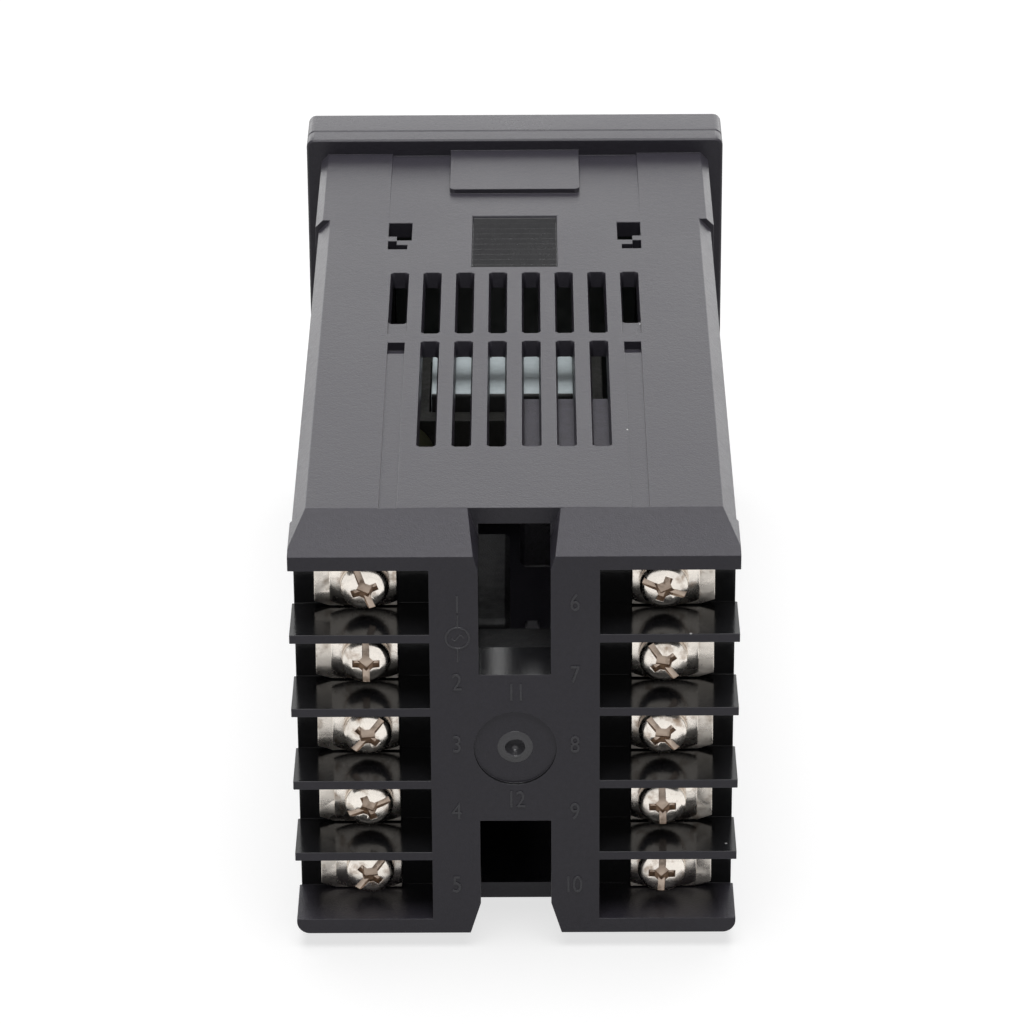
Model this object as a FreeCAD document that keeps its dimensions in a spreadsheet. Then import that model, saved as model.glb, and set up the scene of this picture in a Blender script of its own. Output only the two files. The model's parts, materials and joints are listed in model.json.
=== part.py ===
"""PID temperature controller for a 45 x 45 mm panel cut-out, with a pull-out inner unit.

The frame is millimetres with +Z up. The display faces -Y and the wiring terminals face +Y. The origin is the
middle of the flange's rear face, the one that seats against the panel.
"""
import FreeCAD, Part
import os
import re
import Sketcher

# name: (millimetres or count, what it is)
SIZES = {
    # front and flange
    "bezel_size": (48.0, "front bezel and flange, width and height"),
    "bezel_corner": (0.9, "corner radius of the bezel and flange outlines"),
    "flange_thick": (2.6, "panel flange of the outer case"),
    "bezel_thick": (5.7, "front bezel"),
    "bezel_edge": (0.5, "broken front edge of the bezel"),
    "flange_edge": (0.2, "broken rear edge of the flange"),
    "seam_gap": (0.15, "joint line between bezel and flange"),
    # outer case
    "body_width": (43.9, "case behind the panel"),
    "body_height": (44.5, "case behind the panel"),
    "body_length": (93.0, "flange rear face to terminal block"),
    "edge_chamfer": (1.35, "long edges of the case"),
    "land_width": (44.6, "wider land that fits the panel cut-out"),
    "land_length": (19.6, "length of that land"),
    "land_chamfer": (0.85, "long edges of the land"),
    "side_wall": (2.0, "case side walls"),
    "top_wall": (1.8, "case top and bottom walls"),
    "back_wall": (3.0, "wall between the inside and the terminal cells"),
    "block_width": (44.34, "terminal block"),
    "block_length": (7.0, "depth of the terminal cells"),
    "block_drop": (1.92, "fall of the block's sloping top"),
    "block_corner": (1.3, "rounding of the block's two lower corners"),
    # terminal cells
    "pillar_width": (16.8, "middle pillar between the two columns of cells"),
    "cell_top": (18.8, "ceiling of the first cell above the middle"),
    "first_fin": (11.75, "top of the first fin above the middle"),
    "fin_pitch": (8.2, "from fin to fin"),
    "fin_thick": (0.93, "fin"),
    "bottom_strip": (1.65, "case below the last cell"),
    # centre slots and injection dish
    "slot_width": (7.1, "centre slots"),
    "upper_slot_floor": (7.27, "floor of the upper centre slot above the middle"),
    "lower_slot_roof": (9.25, "roof of the lower centre slot below the middle"),
    "notch_width": (9.2, "mouth of the centre slots at the top and bottom faces"),
    "notch_depth": (3.45, "height of the flared mouth"),
    "dish_radius": (4.1, "round recess in the middle of the rear face"),
    "dish_depth": (0.35, "its depth"),
    "dish_drop": (1.0, "its middle below the middle of the case"),
    "gate_radius": (1.15, "injection gate in the dish"),
    "gate_depth": (1.0, "depth of the gate below the dish"),
    # vents
    "vent_width": (2.0, "vent slot"),
    "vent_pitch": (3.57, "from slot to slot"),
    "vent_corner": (0.35, "cut corners of a slot"),
    "vent_count": (6, "slots in the rear row, and long ones in the front row"),
    "vent_draft": (6.8, "degrees that the slot walls lean in"),
    "front_vent_start": (34.5, "front row"),
    "front_vent_length": (16.3, "front row"),
    "outer_vent_length": (12.7, "the two outermost slots of the front row"),
    "outer_ledge": (0.5, "depth of the ledge behind those two slots"),
    "rear_vent_start": (52.8, "rear row"),
    "rear_vent_length": (26.1, "rear row"),
    # grooves, pads, hook holes and racks
    "groove_place": (12.5, "guide groove, from the middle"),
    "groove_width": (1.8, "guide groove"),
    "groove_start": (53.1, "guide groove"),
    "groove_depth": (0.3, "guide groove"),
    "groove_pocket": (2.2, "length of the deep front end of a groove"),
    "pocket_depth": (1.0, "depth of that end"),
    "zone_width": (28.1, "shallow sunk zone behind the flange"),
    "zone_length": (20.4, "length of that zone"),
    "zone_depth": (0.25, "its depth at the flange"),
    "zone_level": (4.0, "level stretch of the zone before it rises"),
    "pad_width": (14.7, "raised pad behind the flange"),
    "pad_length": (11.7, "raised pad"),
    "pad_height": (0.42, "raised pad above the case's face"),
    "pad_corner": (0.6, "its two rear corners"),
    "hook_outer": (14.0, "outer edge of the hook holes"),
    "hook_inner": (11.4, "inner edge of the hook holes"),
    "hook_step": (13.05, "step of the L-shaped holes"),
    "hook_start": (20.5, "front of the first hook hole"),
    "hook_long": (3.85, "first hole at its outer side"),
    "hook_short": (1.15, "its further length at the inner side"),
    "hook_bridge": (1.25, "bridge between the two holes"),
    "hook_second": (2.3, "second hole at its outer side"),
    "hook_second_inner": (1.2, "second hole at its inner side"),
    "hook_nib": (0.45, "second hole short of the inner edge"),
    "rack_width": (9.4, "ratchet rack for the mounting bracket"),
    "rack_start": (18.5, "front of the rack"),
    "rack_pitch": (1.45, "ratchet tooth"),
    "rack_teeth": (10, "number of teeth"),
    "rack_depth": (0.75, "depth of the rack at the tooth roots"),
    "tooth_height": (0.45, "ratchet tooth"),
    # terminals
    "contact_place": (15.77, "middle of a contact plate"),
    "contact_width": (8.25, "contact plate"),
    "contact_thick": (0.8, "contact plate"),
    "contact_play": (0.12, "contact plate to cell floor and ceiling"),
    "contact_cut": (1.5, "cut outer lower corner of the plate"),
    "contact_rise": (0.5, "rise of that cut"),
    "blade_width": (3.0, "spring blade behind the wall"),
    "blade_thick": (0.6, "spring blade"),
    "blade_reach": (6.0, "blade inside the case"),
    "slit_play": (0.1, "blade to its slit in the back wall"),
    "screw_place": (14.8, "terminal screw, from the middle"),
    "screw_rise": (3.12, "terminal screw above its cell floor"),
    "screw_radius": (1.5, "M3 shank"),
    "screw_length": (4.4, "shank under the head"),
    "head_radius": (2.45, "pan head"),
    "head_height": (2.2, "pan head"),
    "head_crown": (0.9, "sloping upper part of the head"),
    "screw_play": (0.1, "shank to its holes"),
    "washer_place": (15.0, "clamp washer, from the middle"),
    "washer_width": (6.7, "square clamp washer"),
    "washer_height": (5.9, "square clamp washer"),
    "washer_thick": (0.75, "square clamp washer"),
    "washer_corner": (0.7, "its cut corners"),
    # inner unit: bezel
    "collar_gap": (0.3, "bezel collar to the inside of the case"),
    "collar_wall": (1.2, "bezel collar"),
    "collar_end": (8.0, "collar behind the panel face"),
    "bezel_wall": (2.0, "front wall of the bezel"),
    "window_width": (38.0, "display window"),
    "window_top": (19.5, "display window above the middle"),
    "window_bottom": (10.8, "display window below the middle"),
    "window_thick": (1.2, "display window"),
    "window_play": (0.1, "window to its recess"),
    "window_lip": (1.2, "lip that carries the window"),
    # inner unit: boards
    "board_thick": (1.6, "every circuit board"),
    "board_place": (17.5, "middle of a side board"),
    "board_play": (0.35, "side board to the case's top and bottom"),
    "board_gap": (0.3, "a board to what it seats against"),
    "tongue_height": (30.0, "front tongue of a side board"),
    "display_face": (0.2, "front face of the display board behind the panel face"),
    "rib_thick": (0.7, "guide rib beside a side board"),
    "rib_height": (1.2, "guide rib"),
    "rib_play": (0.2, "side board to guide rib"),
    "rib_start": (26.0, "front end of the guide ribs"),
    # inner unit: display side
    "display_play": (0.1, "display parts to board and window"),
    "digits_width": (30.0, "display module"),
    "upper_digits": (12.0, "height of the measured value module"),
    "upper_place": (12.2, "its middle above the middle"),
    "lower_digits": (9.0, "height of the set value module"),
    "lower_place": (0.9, "its middle above the middle"),
    "lamp_width": (3.0, "indicator lamp"),
    "lamp_height": (1.6, "indicator lamp"),
    "lamp_place": (7.6, "indicator lamps below the middle"),
    "lamp_depth": (3.0, "indicator lamp"),
    "key_pitch": (9.2, "from key to key"),
    "key_place": (15.0, "keys below the middle"),
    "key_width": (7.4, "key cap"),
    "key_height": (5.4, "key cap"),
    "key_corner": (0.8, "cut corners of a key cap"),
    "key_edge": (0.4, "broken front edge of a key cap"),
    "key_proud": (0.6, "key cap in front of the bezel"),
    "key_play": (0.2, "key cap to its hole"),
    "key_rim": (0.6, "rim that keeps the key in"),
    "key_rim_thick": (0.8, "that rim"),
    "key_travel": (0.3, "key stroke"),
    "switch_size": (6.0, "tact switch"),
    "switch_depth": (3.4, "tact switch body"),
    "plunger_radius": (1.6, "tact switch plunger"),
    "plunger_play": (0.1, "plunger to switch body and key"),
    "plunger_proud": (1.05, "plunger in front of the switch body"),
    "plunger_sunk": (0.7, "plunger inside the switch body"),
    "header_length": (20.0, "header between boards"),
    "header_size": (2.5, "header between boards"),
    # inner unit: components
    "winding_left": (8.8, "transformer winding, one end from the middle"),
    "winding_right": (6.2, "transformer winding, other end from the middle"),
    "winding_start": (43.5, "transformer winding"),
    "winding_length": (12.3, "transformer winding"),
    "winding_top": (17.5, "transformer winding above the middle"),
    "winding_height": (13.5, "transformer winding"),
    "winding_round": (0.5, "winding edges"),
    "core_leg": (2.3, "ferrite core leg"),
    "core_yoke": (3.0, "ferrite core yoke"),
    "core_height": (9.5, "ferrite core"),
    "core_play": (0.2, "core to winding"),
    "foot_height": (4.0, "bobbin foot that stands on the left board"),
    "relay_length": (20.0, "relay"),
    "relay_depth": (15.9, "relay, out from its board"),
    "relay_thick": (10.2, "relay"),
    "relay_edge": (0.5, "relay edges"),
    "control_start": (58.9, "control relay on the right board"),
    "control_top": (18.5, "control relay above the middle"),
    "alarm_start": (69.6, "alarm relay on the left board"),
    "alarm_top": (8.0, "alarm relay above the middle"),
    "part_gap": (0.3, "a component to its board"),
    "filter_radius": (4.0, "filter capacitor"),
    "filter_length": (10.4, "filter capacitor"),
    "filter_start": (58.9, "filter capacitor"),
    "filter_rise": (11.9, "filter capacitor above the middle"),
    "output_radius": (4.0, "output capacitor"),
    "output_length": (12.0, "output capacitor"),
    "output_start": (60.0, "output capacitor"),
    "output_drop": (9.0, "output capacitor below the middle"),
    "chip_size": (12.0, "microcontroller"),
    "chip_thick": (1.5, "microcontroller"),
    "chip_start": (22.0, "microcontroller"),
    "chip_drop": (4.0, "microcontroller below the middle"),
}
CELLS = range(5)
SIDES = {"left": 1, "right": -1}
FACES = {"top": 1, "bottom": -1}

doc = FreeCAD.newDocument("temperature_controller")
sheet = doc.addObject("Spreadsheet::Sheet", "Sizes")
for row, (name, (value, meaning)) in enumerate(SIZES.items(), start=1):
    sheet.set(f"A{row}", meaning)
    sheet.set(f"B{row}", str(value))
    sheet.setAlias(f"B{row}", name)
doc.recompute()

# places that several pieces share, as expressions in the sizes
HALF_HIGH = "body_height / 2"
INSIDE_X = "(body_width / 2 - side_wall)"
INSIDE_Z = "(body_height / 2 - top_wall)"
REAR = "(body_length + block_length)"
BEZEL_REAR = "(0 - flange_thick - seam_gap)"
BEZEL_FACE = f"({BEZEL_REAR} - bezel_thick)"
WALL_REAR = f"({BEZEL_FACE} + bezel_wall)"
COLLAR_X = f"({INSIDE_X} - collar_gap)"
COLLAR_Z = f"({INSIDE_Z} - collar_gap)"
BOARD_IN = "(board_place - board_thick / 2)"
BOARD_OUT = "(board_place + board_thick / 2)"
BOARD_TOP = f"({INSIDE_Z} - board_play)"
BOARD_REAR = "(body_length - back_wall - board_gap)"
DISPLAY_REAR = "(display_face + board_thick)"
BLADE_IN = f"({BOARD_OUT} + board_gap)"
SWITCH_FRONT = "(display_face - display_play - switch_depth)"
# a cut runs this far past the face that it opens, and a pad starts this deep in what it grows on
PAST = "1"
OVERLAP = "0.01"

# vent slots counted in pitches from the middle
FIRST_VENT = "((1 - vent_count) / 2)"
OUTER_VENT = "((vent_count + 1) / 2)"


def bound(text):
    """The expression with every size named in the sheet."""
    return re.sub(r"[a-z][a-z_]*", lambda word: f"Sizes.{word[0]}" if word[0] in SIZES else word[0], text)


def number(text):
    return float(sheet.evalExpression(text))


def cell_floor(row):
    """Floor of a terminal cell: the top of a fin, or of the case's bottom strip."""
    if row == CELLS[-1]:
        return "(bottom_strip - body_height / 2)"
    return f"(first_fin - {row} * fin_pitch)"


def cell_ceiling(row):
    if row == 0:
        return "cell_top"
    return f"({cell_floor(row - 1)} - fin_thick)"


def screw_height(row):
    return f"({cell_floor(row)} + screw_rise)"


def facing(side, near, far):
    """Two places on one side of the middle, in rising order."""
    return sorted((f"{side} * ({near})", f"{side} * ({far})"), key=number)


def new_body(label):
    body = doc.addObject("PartDesign::Body", label)
    body.Label = label
    return body


def new_sketch(body, name, role, offset="0"):
    """A sketch on one of the body's origin planes, moved along the plane's normal."""
    sketch = body.newObject("Sketcher::SketchObject", name)
    plane = next(item for item in body.Origin.OriginFeatures if item.Role == role)
    sketch.AttachmentSupport = [(plane, "")]
    sketch.MapMode = "FlatFace"
    sketch.setExpression("AttachmentOffset.Base.z", bound(offset))
    return sketch


def hold(sketch, kind, index, place, expression):
    """Tie one coordinate of a sketch point to the sheet."""
    rank = sketch.addConstraint(Sketcher.Constraint(kind, index, place, number(expression)))
    sketch.setExpression(f"Constraints[{rank}]", bound(expression))


def add_polygon(sketch, points):
    """A closed outline through points given as pairs of expressions."""
    spots = [FreeCAD.Vector(number(x), number(y), 0) for x, y in points]
    first = sketch.GeometryCount
    count = len(spots)
    for spot, following in zip(spots, spots[1:] + spots[:1]):
        sketch.addGeometry(Part.LineSegment(spot, following), False)
    for step in range(count):
        after = first + (step + 1) % count
        sketch.addConstraint(Sketcher.Constraint("Coincident", first + step, 2, after, 1))
    for step, (x, y) in enumerate(points):
        hold(sketch, "DistanceX", first + step, 1, x)
        hold(sketch, "DistanceY", first + step, 1, y)


def add_rectangle(sketch, x_low, x_high, y_low, y_high):
    add_polygon(sketch, [(x_low, y_low), (x_high, y_low), (x_high, y_high), (x_low, y_high)])


def add_round_rectangle(sketch, x_low, x_high, y_low, y_high, radius):
    """A rectangle whose corners are arcs, tangent to its sides."""
    x0, x1, y0, y1, r = (number(text) for text in (x_low, x_high, y_low, y_high, radius))
    first = sketch.GeometryCount
    sides = [((x0 + r, y0), (x1 - r, y0)), ((x1, y0 + r), (x1, y1 - r)),
             ((x1 - r, y1), (x0 + r, y1)), ((x0, y1 - r), (x0, y0 + r))]
    for start, end in sides:
        sketch.addGeometry(Part.LineSegment(FreeCAD.Vector(*start, 0), FreeCAD.Vector(*end, 0)), False)
    centres = [(x1 - r, y0 + r, -90), (x1 - r, y1 - r, 0), (x0 + r, y1 - r, 90), (x0 + r, y0 + r, 180)]
    for x, y, angle in centres:
        circle = Part.Circle(FreeCAD.Vector(x, y, 0), FreeCAD.Vector(0, 0, 1), r)
        turn = FreeCAD.Units.Quantity(angle, FreeCAD.Units.Angle).getValueAs("rad").Value
        quarter = FreeCAD.Units.Quantity(angle + 90, FreeCAD.Units.Angle).getValueAs("rad").Value
        sketch.addGeometry(Part.ArcOfCircle(circle, turn, quarter), False)
    for side in range(4):
        arc = first + 4 + side
        sketch.addConstraint(Sketcher.Constraint("Tangent", first + side, 2, arc, 1))
        sketch.addConstraint(Sketcher.Constraint("Tangent", arc, 2, first + (side + 1) % 4, 1))
        sketch.addConstraint(Sketcher.Constraint("Vertical" if side % 2 else "Horizontal", first + side))
    for side in range(1, 4):
        sketch.addConstraint(Sketcher.Constraint("Equal", first + 4, first + 4 + side))
    rank = sketch.addConstraint(Sketcher.Constraint("Radius", first + 4, r))
    sketch.setExpression(f"Constraints[{rank}]", bound(radius))
    hold(sketch, "DistanceY", first, 1, y_low)
    hold(sketch, "DistanceX", first + 1, 1, x_high)
    hold(sketch, "DistanceY", first + 2, 1, y_high)
    hold(sketch, "DistanceX", first + 3, 1, x_low)


def add_circle(sketch, x, y, radius):
    index = sketch.addGeometry(Part.Circle(FreeCAD.Vector(number(x), number(y), 0),
                                           FreeCAD.Vector(0, 0, 1), number(radius)), False)
    rank = sketch.addConstraint(Sketcher.Constraint("Radius", index, number(radius)))
    sketch.setExpression(f"Constraints[{rank}]", bound(radius))
    hold(sketch, "DistanceX", index, 3, x)
    hold(sketch, "DistanceY", index, 3, y)


def extrude(body, kind, sketch, length, back=False, middle=False):
    """A Pad or Pocket of the sketch; the volume must change."""
    before = body.Shape.Volume if body.Tip else 0
    feature = body.newObject(f"PartDesign::{kind}", f"{sketch.Name}_{kind.lower()}")
    feature.Profile = sketch
    feature.Length = number(length)
    feature.setExpression("Length", bound(length))
    feature.Reversed = back
    feature.Refine = False
    if middle:
        feature.SideType = "Symmetric"
    sketch.Visibility = False
    doc.recompute()
    grown = body.Shape.Volume - before
    if grown * (1 if kind == "Pad" else -1) <= 0:
        raise ValueError(f"{body.Label}: {feature.Name} changes nothing")
    return feature


def slab(body, name, y_low, y_high, draw):
    """A pad between two places along Y, of an outline drawn across the case."""
    sketch = new_sketch(body, name, "XZ_Plane", f"0 - ({y_low})")
    draw(sketch)
    return extrude(body, "Pad", sketch, f"{y_high} - ({y_low})", back=True)


def cut(body, name, y_low, y_high, draw):
    """A pocket between two places along Y."""
    sketch = new_sketch(body, name, "XZ_Plane", f"0 - ({y_low})")
    draw(sketch)
    return extrude(body, "Pocket", sketch, f"{y_high} - ({y_low})")


def dress(body, kind, size, chosen):
    """Round or chamfer the edges of the body's tip that the test picks."""
    edges = [f"Edge{rank}" for rank, edge in enumerate(body.Shape.Edges, start=1) if chosen(edge)]
    base = body.Tip
    feature = body.newObject(f"PartDesign::{kind}", f"{body.Name}_{kind.lower()}")
    feature.Base = (base, edges)
    name = "Radius" if kind == "Fillet" else "Size"
    setattr(feature, name, number(size))
    feature.setExpression(name, bound(size))
    body.Tip = feature
    doc.recompute()
    return feature


def runs(edge, axis):
    """Whether an edge is a straight one along an axis."""
    if not isinstance(edge.Curve, Part.Line):
        return False
    return abs(abs(edge.Curve.Direction.dot(axis)) - 1) < 1e-6


def at(value, text, slack=0.01):
    return abs(value - number(text)) < slack


ALONG_X = FreeCAD.Vector(1, 0, 0)
ALONG_Y = FreeCAD.Vector(0, 1, 0)
ALONG_Z = FreeCAD.Vector(0, 0, 1)


def add_chamfered(sketch, width, top, bottom, chamfer):
    """A rectangle across the case with its four corners cut."""
    side = f"{width} / 2"
    add_polygon(sketch, [
        (f"{chamfer} - {side}", f"0 - {bottom}"), (f"{side} - {chamfer}", f"0 - {bottom}"),
        (side, f"{chamfer} - {bottom}"), (side, f"{top} - {chamfer}"),
        (f"{side} - {chamfer}", top), (f"{chamfer} - {side}", top),
        (f"0 - {side}", f"{top} - {chamfer}"), (f"0 - {side}", f"{chamfer} - {bottom}")])


# ---------------------------------------------------------------- outer case


def case_outside(case):
    """Tube behind the panel, its wider land, the flange and the terminal block."""
    slab(case, "tube", "0", "body_length",
         lambda sk: add_chamfered(sk, "body_width", HALF_HIGH, HALF_HIGH, "edge_chamfer"))
    slab(case, "land", "0", "land_length",
         lambda sk: add_chamfered(sk, "land_width", HALF_HIGH, HALF_HIGH, "land_chamfer"))
    edge = "bezel_size / 2"
    slab(case, "flange", "0 - flange_thick", "0",
         lambda sk: add_round_rectangle(sk, f"0 - {edge}", edge, f"0 - {edge}", edge, "bezel_corner"))
    dress(case, "Chamfer", "flange_edge",
          lambda e: at(e.BoundBox.YMin, "0") and at(e.BoundBox.YMax, "0")
          and max(abs(v.Point[axis]) for v in e.Vertexes for axis in (0, 2)) > number("bezel_size / 2 - 0.01"))
    side = "block_width / 2"
    bevel = "(edge_chamfer + (block_width - body_width) / 2)"
    slab(case, "block", "body_length", REAR, lambda sk: add_polygon(sk, [
        (f"0 - {side}", f"0 - {HALF_HIGH}"), (side, f"0 - {HALF_HIGH}"),
        (side, f"{HALF_HIGH} - {bevel}"), (f"{side} - {bevel}", HALF_HIGH),
        (f"{bevel} - {side}", HALF_HIGH), (f"0 - {side}", f"{HALF_HIGH} - {bevel}")]))
    lower = number(f"0 - {HALF_HIGH}")
    dress(case, "Fillet", "block_corner",
          lambda e: runs(e, ALONG_Y) and e.BoundBox.YMin > number("body_length") - 0.01
          and abs(e.BoundBox.ZMax - lower) < 0.01)
    slope = new_sketch(case, "slope", "YZ_Plane")
    fall = f"block_drop * (block_length + {PAST}) / block_length"
    add_polygon(slope, [("body_length", HALF_HIGH), (f"{REAR} + {PAST}", f"{HALF_HIGH} + {PAST}"),
                        (f"{REAR} + {PAST}", f"{HALF_HIGH} - {fall}")])
    extrude(case, "Pocket", slope, f"block_width + 2 * {PAST}", middle=True)


def case_inside(case):
    """The space for the inner unit, and the ribs that guide its two boards."""
    cut(case, "inside", "0 - flange_thick", "body_length - back_wall",
        lambda sk: add_rectangle(sk, f"0 - {INSIDE_X}", INSIDE_X, f"0 - {INSIDE_Z}", INSIDE_Z))

    def draw_ribs(sketch):
        for side in SIDES.values():
            for place in (f"({BOARD_IN} - rib_play - rib_thick)", f"({BOARD_OUT} + rib_play)"):
                for half in (1, -1):
                    add_rectangle(sketch, *facing(side, place, f"{place} + rib_thick"),
                                  *facing(half, f"{INSIDE_Z} - rib_height", f"{INSIDE_Z} + {OVERLAP}"))

    slab(case, "ribs", "rib_start", "body_length - back_wall", draw_ribs)


def case_cells(case):
    """Ten open terminal cells, their screw holes and the slits for the blades."""

    def draw_cells(sketch):
        for side in SIDES.values():
            for row in CELLS:
                ends = facing(side, "pillar_width / 2", f"block_width / 2 + {PAST}")
                add_rectangle(sketch, *ends, cell_floor(row), cell_ceiling(row))

    cut(case, "cells", "body_length", f"{REAR} + {PAST}", draw_cells)

    def draw_passages(sketch):
        for side in SIDES.values():
            for row in CELLS:
                add_circle(sketch, f"{side} * screw_place", screw_height(row), "screw_radius + screw_play")
                slit = facing(side, f"{BLADE_IN} - slit_play", f"{BLADE_IN} + blade_thick + slit_play")
                reach = "(blade_width / 2 + slit_play)"
                add_rectangle(sketch, *slit, f"{screw_height(row)} - {reach}", f"{screw_height(row)} + {reach}")

    cut(case, "passages", f"body_length - back_wall - {PAST}", f"body_length + {PAST}", draw_passages)


def case_centre(case):
    """The two empty centre slots with their flared mouths, and the dish with the injection gate."""
    half = "slot_width / 2"

    def draw_slots(sketch):
        add_rectangle(sketch, f"0 - {half}", half, "upper_slot_floor", f"{HALF_HIGH} + {PAST}")
        add_rectangle(sketch, f"0 - {half}", half, f"0 - {HALF_HIGH} - {PAST}", "0 - lower_slot_roof")

    cut(case, "centre_slots", "body_length", f"{REAR} + {PAST}", draw_slots)

    def draw_ways(sketch):
        add_rectangle(sketch, f"0 - {half}", half, "upper_slot_floor", INSIDE_Z)
        add_rectangle(sketch, f"0 - {half}", half, f"0 - {INSIDE_Z}", "0 - lower_slot_roof")

    cut(case, "centre_ways", f"body_length - back_wall - {PAST}", f"body_length + {PAST}", draw_ways)
    wide = "notch_width / 2"

    def draw_mouths(sketch):
        for end in FACES.values():
            throat = f"{end} * ({HALF_HIGH} - notch_depth)"
            face = f"{end} * {HALF_HIGH}"
            past = f"{end} * ({HALF_HIGH} + {PAST})"
            add_polygon(sketch, [(f"0 - {half}", throat), (half, throat), (wide, face),
                                 (wide, past), (f"0 - {wide}", past), (f"0 - {wide}", face)])

    cut(case, "mouths", "body_length", f"{REAR} + {PAST}", draw_mouths)
    cut(case, "dish", f"{REAR} - dish_depth", f"{REAR} + {PAST}",
        lambda sk: add_circle(sk, "0", "0 - dish_drop", "dish_radius"))
    cut(case, "gate", f"{REAR} - dish_depth - gate_depth", f"{REAR} + {PAST}",
        lambda sk: add_circle(sk, "0", "0 - dish_drop", "gate_radius"))


def add_cut_rectangle(sketch, x_low, x_high, y_low, y_high, corner):
    """A rectangle with small cut corners."""
    add_polygon(sketch, [
        (f"{x_low} + {corner}", y_low), (f"{x_high} - {corner}", y_low),
        (x_high, f"{y_low} + {corner}"), (x_high, f"{y_high} - {corner}"),
        (f"{x_high} - {corner}", y_high), (f"{x_low} + {corner}", y_high),
        (x_low, f"{y_high} - {corner}"), (x_low, f"{y_low} + {corner}")])


def vents(case, name, end):
    """Two rows of vent slots in the top or the bottom wall, their walls leaning in."""

    def open_slots(title, places, start, length):
        sketch = new_sketch(case, f"{name}_{title}_vents", "XY_Plane", f"{end} * {HALF_HIGH}")
        for place in places:
            add_cut_rectangle(sketch, f"({place} * vent_pitch - vent_width / 2)",
                              f"({place} * vent_pitch + vent_width / 2)",
                              start, f"({start} + {length})", "vent_corner")
        slots = extrude(case, "Pocket", sketch, f"top_wall + {PAST}", back=end < 0)
        slots.TaperAngle = number("0 - vent_draft")
        slots.setExpression("TaperAngle", bound("0 - vent_draft"))
        return slots

    open_slots("outer", (f"(0 - {OUTER_VENT})", OUTER_VENT), "front_vent_start", "outer_vent_length")
    front = open_slots("front", [FIRST_VENT], "front_vent_start", "front_vent_length")
    rear = open_slots("rear", [FIRST_VENT], "rear_vent_start", "rear_vent_length")
    rows = case.newObject("PartDesign::LinearPattern", f"{name}_vent_rows")
    rows.Originals = [front, rear]
    rows.Refine = False
    rows.Direction = (front.Profile[0], ["H_Axis"])
    rows.Mode = "Spacing"
    rows.Offset = number("vent_pitch")
    rows.setExpression("Offset", bound("vent_pitch"))
    rows.Occurrences = round(number("vent_count"))
    case.Tip = rows
    doc.recompute()


def hook_holes(case, name, end):
    """Pairs of L-shaped holes through the top or the bottom wall."""
    sketch = new_sketch(case, f"{name}_hook_holes", "XY_Plane", f"{end} * {HALF_HIGH}")
    bend = "(hook_start + hook_long)"
    far = f"({bend} + hook_short)"
    near = f"({bend} + hook_short + hook_bridge - hook_second + hook_second_inner)"
    last = f"({near} + hook_second)"
    for side in SIDES.values():
        outer, step, inner = (f"{side} * {place}" for place in ("hook_outer", "hook_step", "hook_inner"))
        add_polygon(sketch, [(outer, "hook_start"), (inner, "hook_start"), (inner, far),
                             (step, far), (step, bend), (outer, bend)])
        add_polygon(sketch, [(outer, near), (step, near), (step, f"{last} - hook_second_inner"),
                             (f"{inner} + {side} * hook_nib", f"{last} - hook_second_inner"),
                             (f"{inner} + {side} * hook_nib", last), (outer, last)])
    extrude(case, "Pocket", sketch, f"top_wall + {PAST}", back=end < 0)


def ratchet(case, name, end):
    """The saw teeth that the mounting bracket's pawl climbs."""
    root = f"({end} * ({HALF_HIGH} - rack_depth))"
    crest = f"({end} * ({HALF_HIGH} - rack_depth + tooth_height))"
    above = f"({end} * ({HALF_HIGH} + {PAST}))"
    rack = new_sketch(case, f"{name}_rack", "YZ_Plane")
    outline = [("rack_start", above)]
    for tooth in range(round(number("rack_teeth"))):
        outline.append((f"rack_start + {tooth} * rack_pitch", crest))
        outline.append((f"rack_start + {tooth + 1} * rack_pitch", root))
    outline.append(("rack_start + rack_teeth * rack_pitch", above))
    add_polygon(rack, outline)
    extrude(case, "Pocket", rack, "rack_width", middle=True)


def case_face(case, name, end):
    """What the top and the bottom face share: sunk zone, raised pad, rack, guide grooves and ledges."""
    level = f"({end} * {HALF_HIGH})"
    zone = new_sketch(case, f"{name}_zone", "YZ_Plane")
    sunk = f"{level} - {end} * zone_depth"
    add_polygon(zone, [("0", level), ("zone_length", level), ("zone_level", sunk), ("0", sunk)])
    extrude(case, "Pocket", zone, "zone_width", middle=True)
    pad = new_sketch(case, f"{name}_pad", "XY_Plane", f"{level} - {end} * zone_depth")
    add_rectangle(pad, "0 - pad_width / 2", "pad_width / 2", "0", "pad_length")
    extrude(case, "Pad", pad, "zone_depth + pad_height", back=end < 0)
    dress(case, "Fillet", "pad_corner",
          lambda e: runs(e, ALONG_Z) and at(e.BoundBox.YMin, "pad_length")
          and at(abs(e.BoundBox.XMin), "pad_width / 2") and e.BoundBox.ZMin * end > number(HALF_HIGH) - 1)
    ratchet(case, name, end)
    grooves = new_sketch(case, f"{name}_grooves", "XY_Plane", level)
    pockets = new_sketch(case, f"{name}_groove_ends", "XY_Plane", level)
    ledges = new_sketch(case, f"{name}_ledges", "XY_Plane", level)
    for side in SIDES.values():
        near = f"{side} * groove_place - groove_width / 2"
        far = f"{side} * groove_place + groove_width / 2"
        add_rectangle(grooves, near, far, "groove_start", "body_length")
        add_rectangle(pockets, near, far, "groove_start", "groove_start + groove_pocket")
        place = f"{side} * {OUTER_VENT} * vent_pitch"
        add_rectangle(ledges, f"{place} - vent_width / 2", f"{place} + vent_width / 2",
                      "front_vent_start + outer_vent_length - vent_corner",
                      "front_vent_start + front_vent_length")
    for sketch, depth in ((grooves, "groove_depth"), (pockets, "pocket_depth"), (ledges, "outer_ledge")):
        extrude(case, "Pocket", sketch, depth, back=end < 0)


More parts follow.
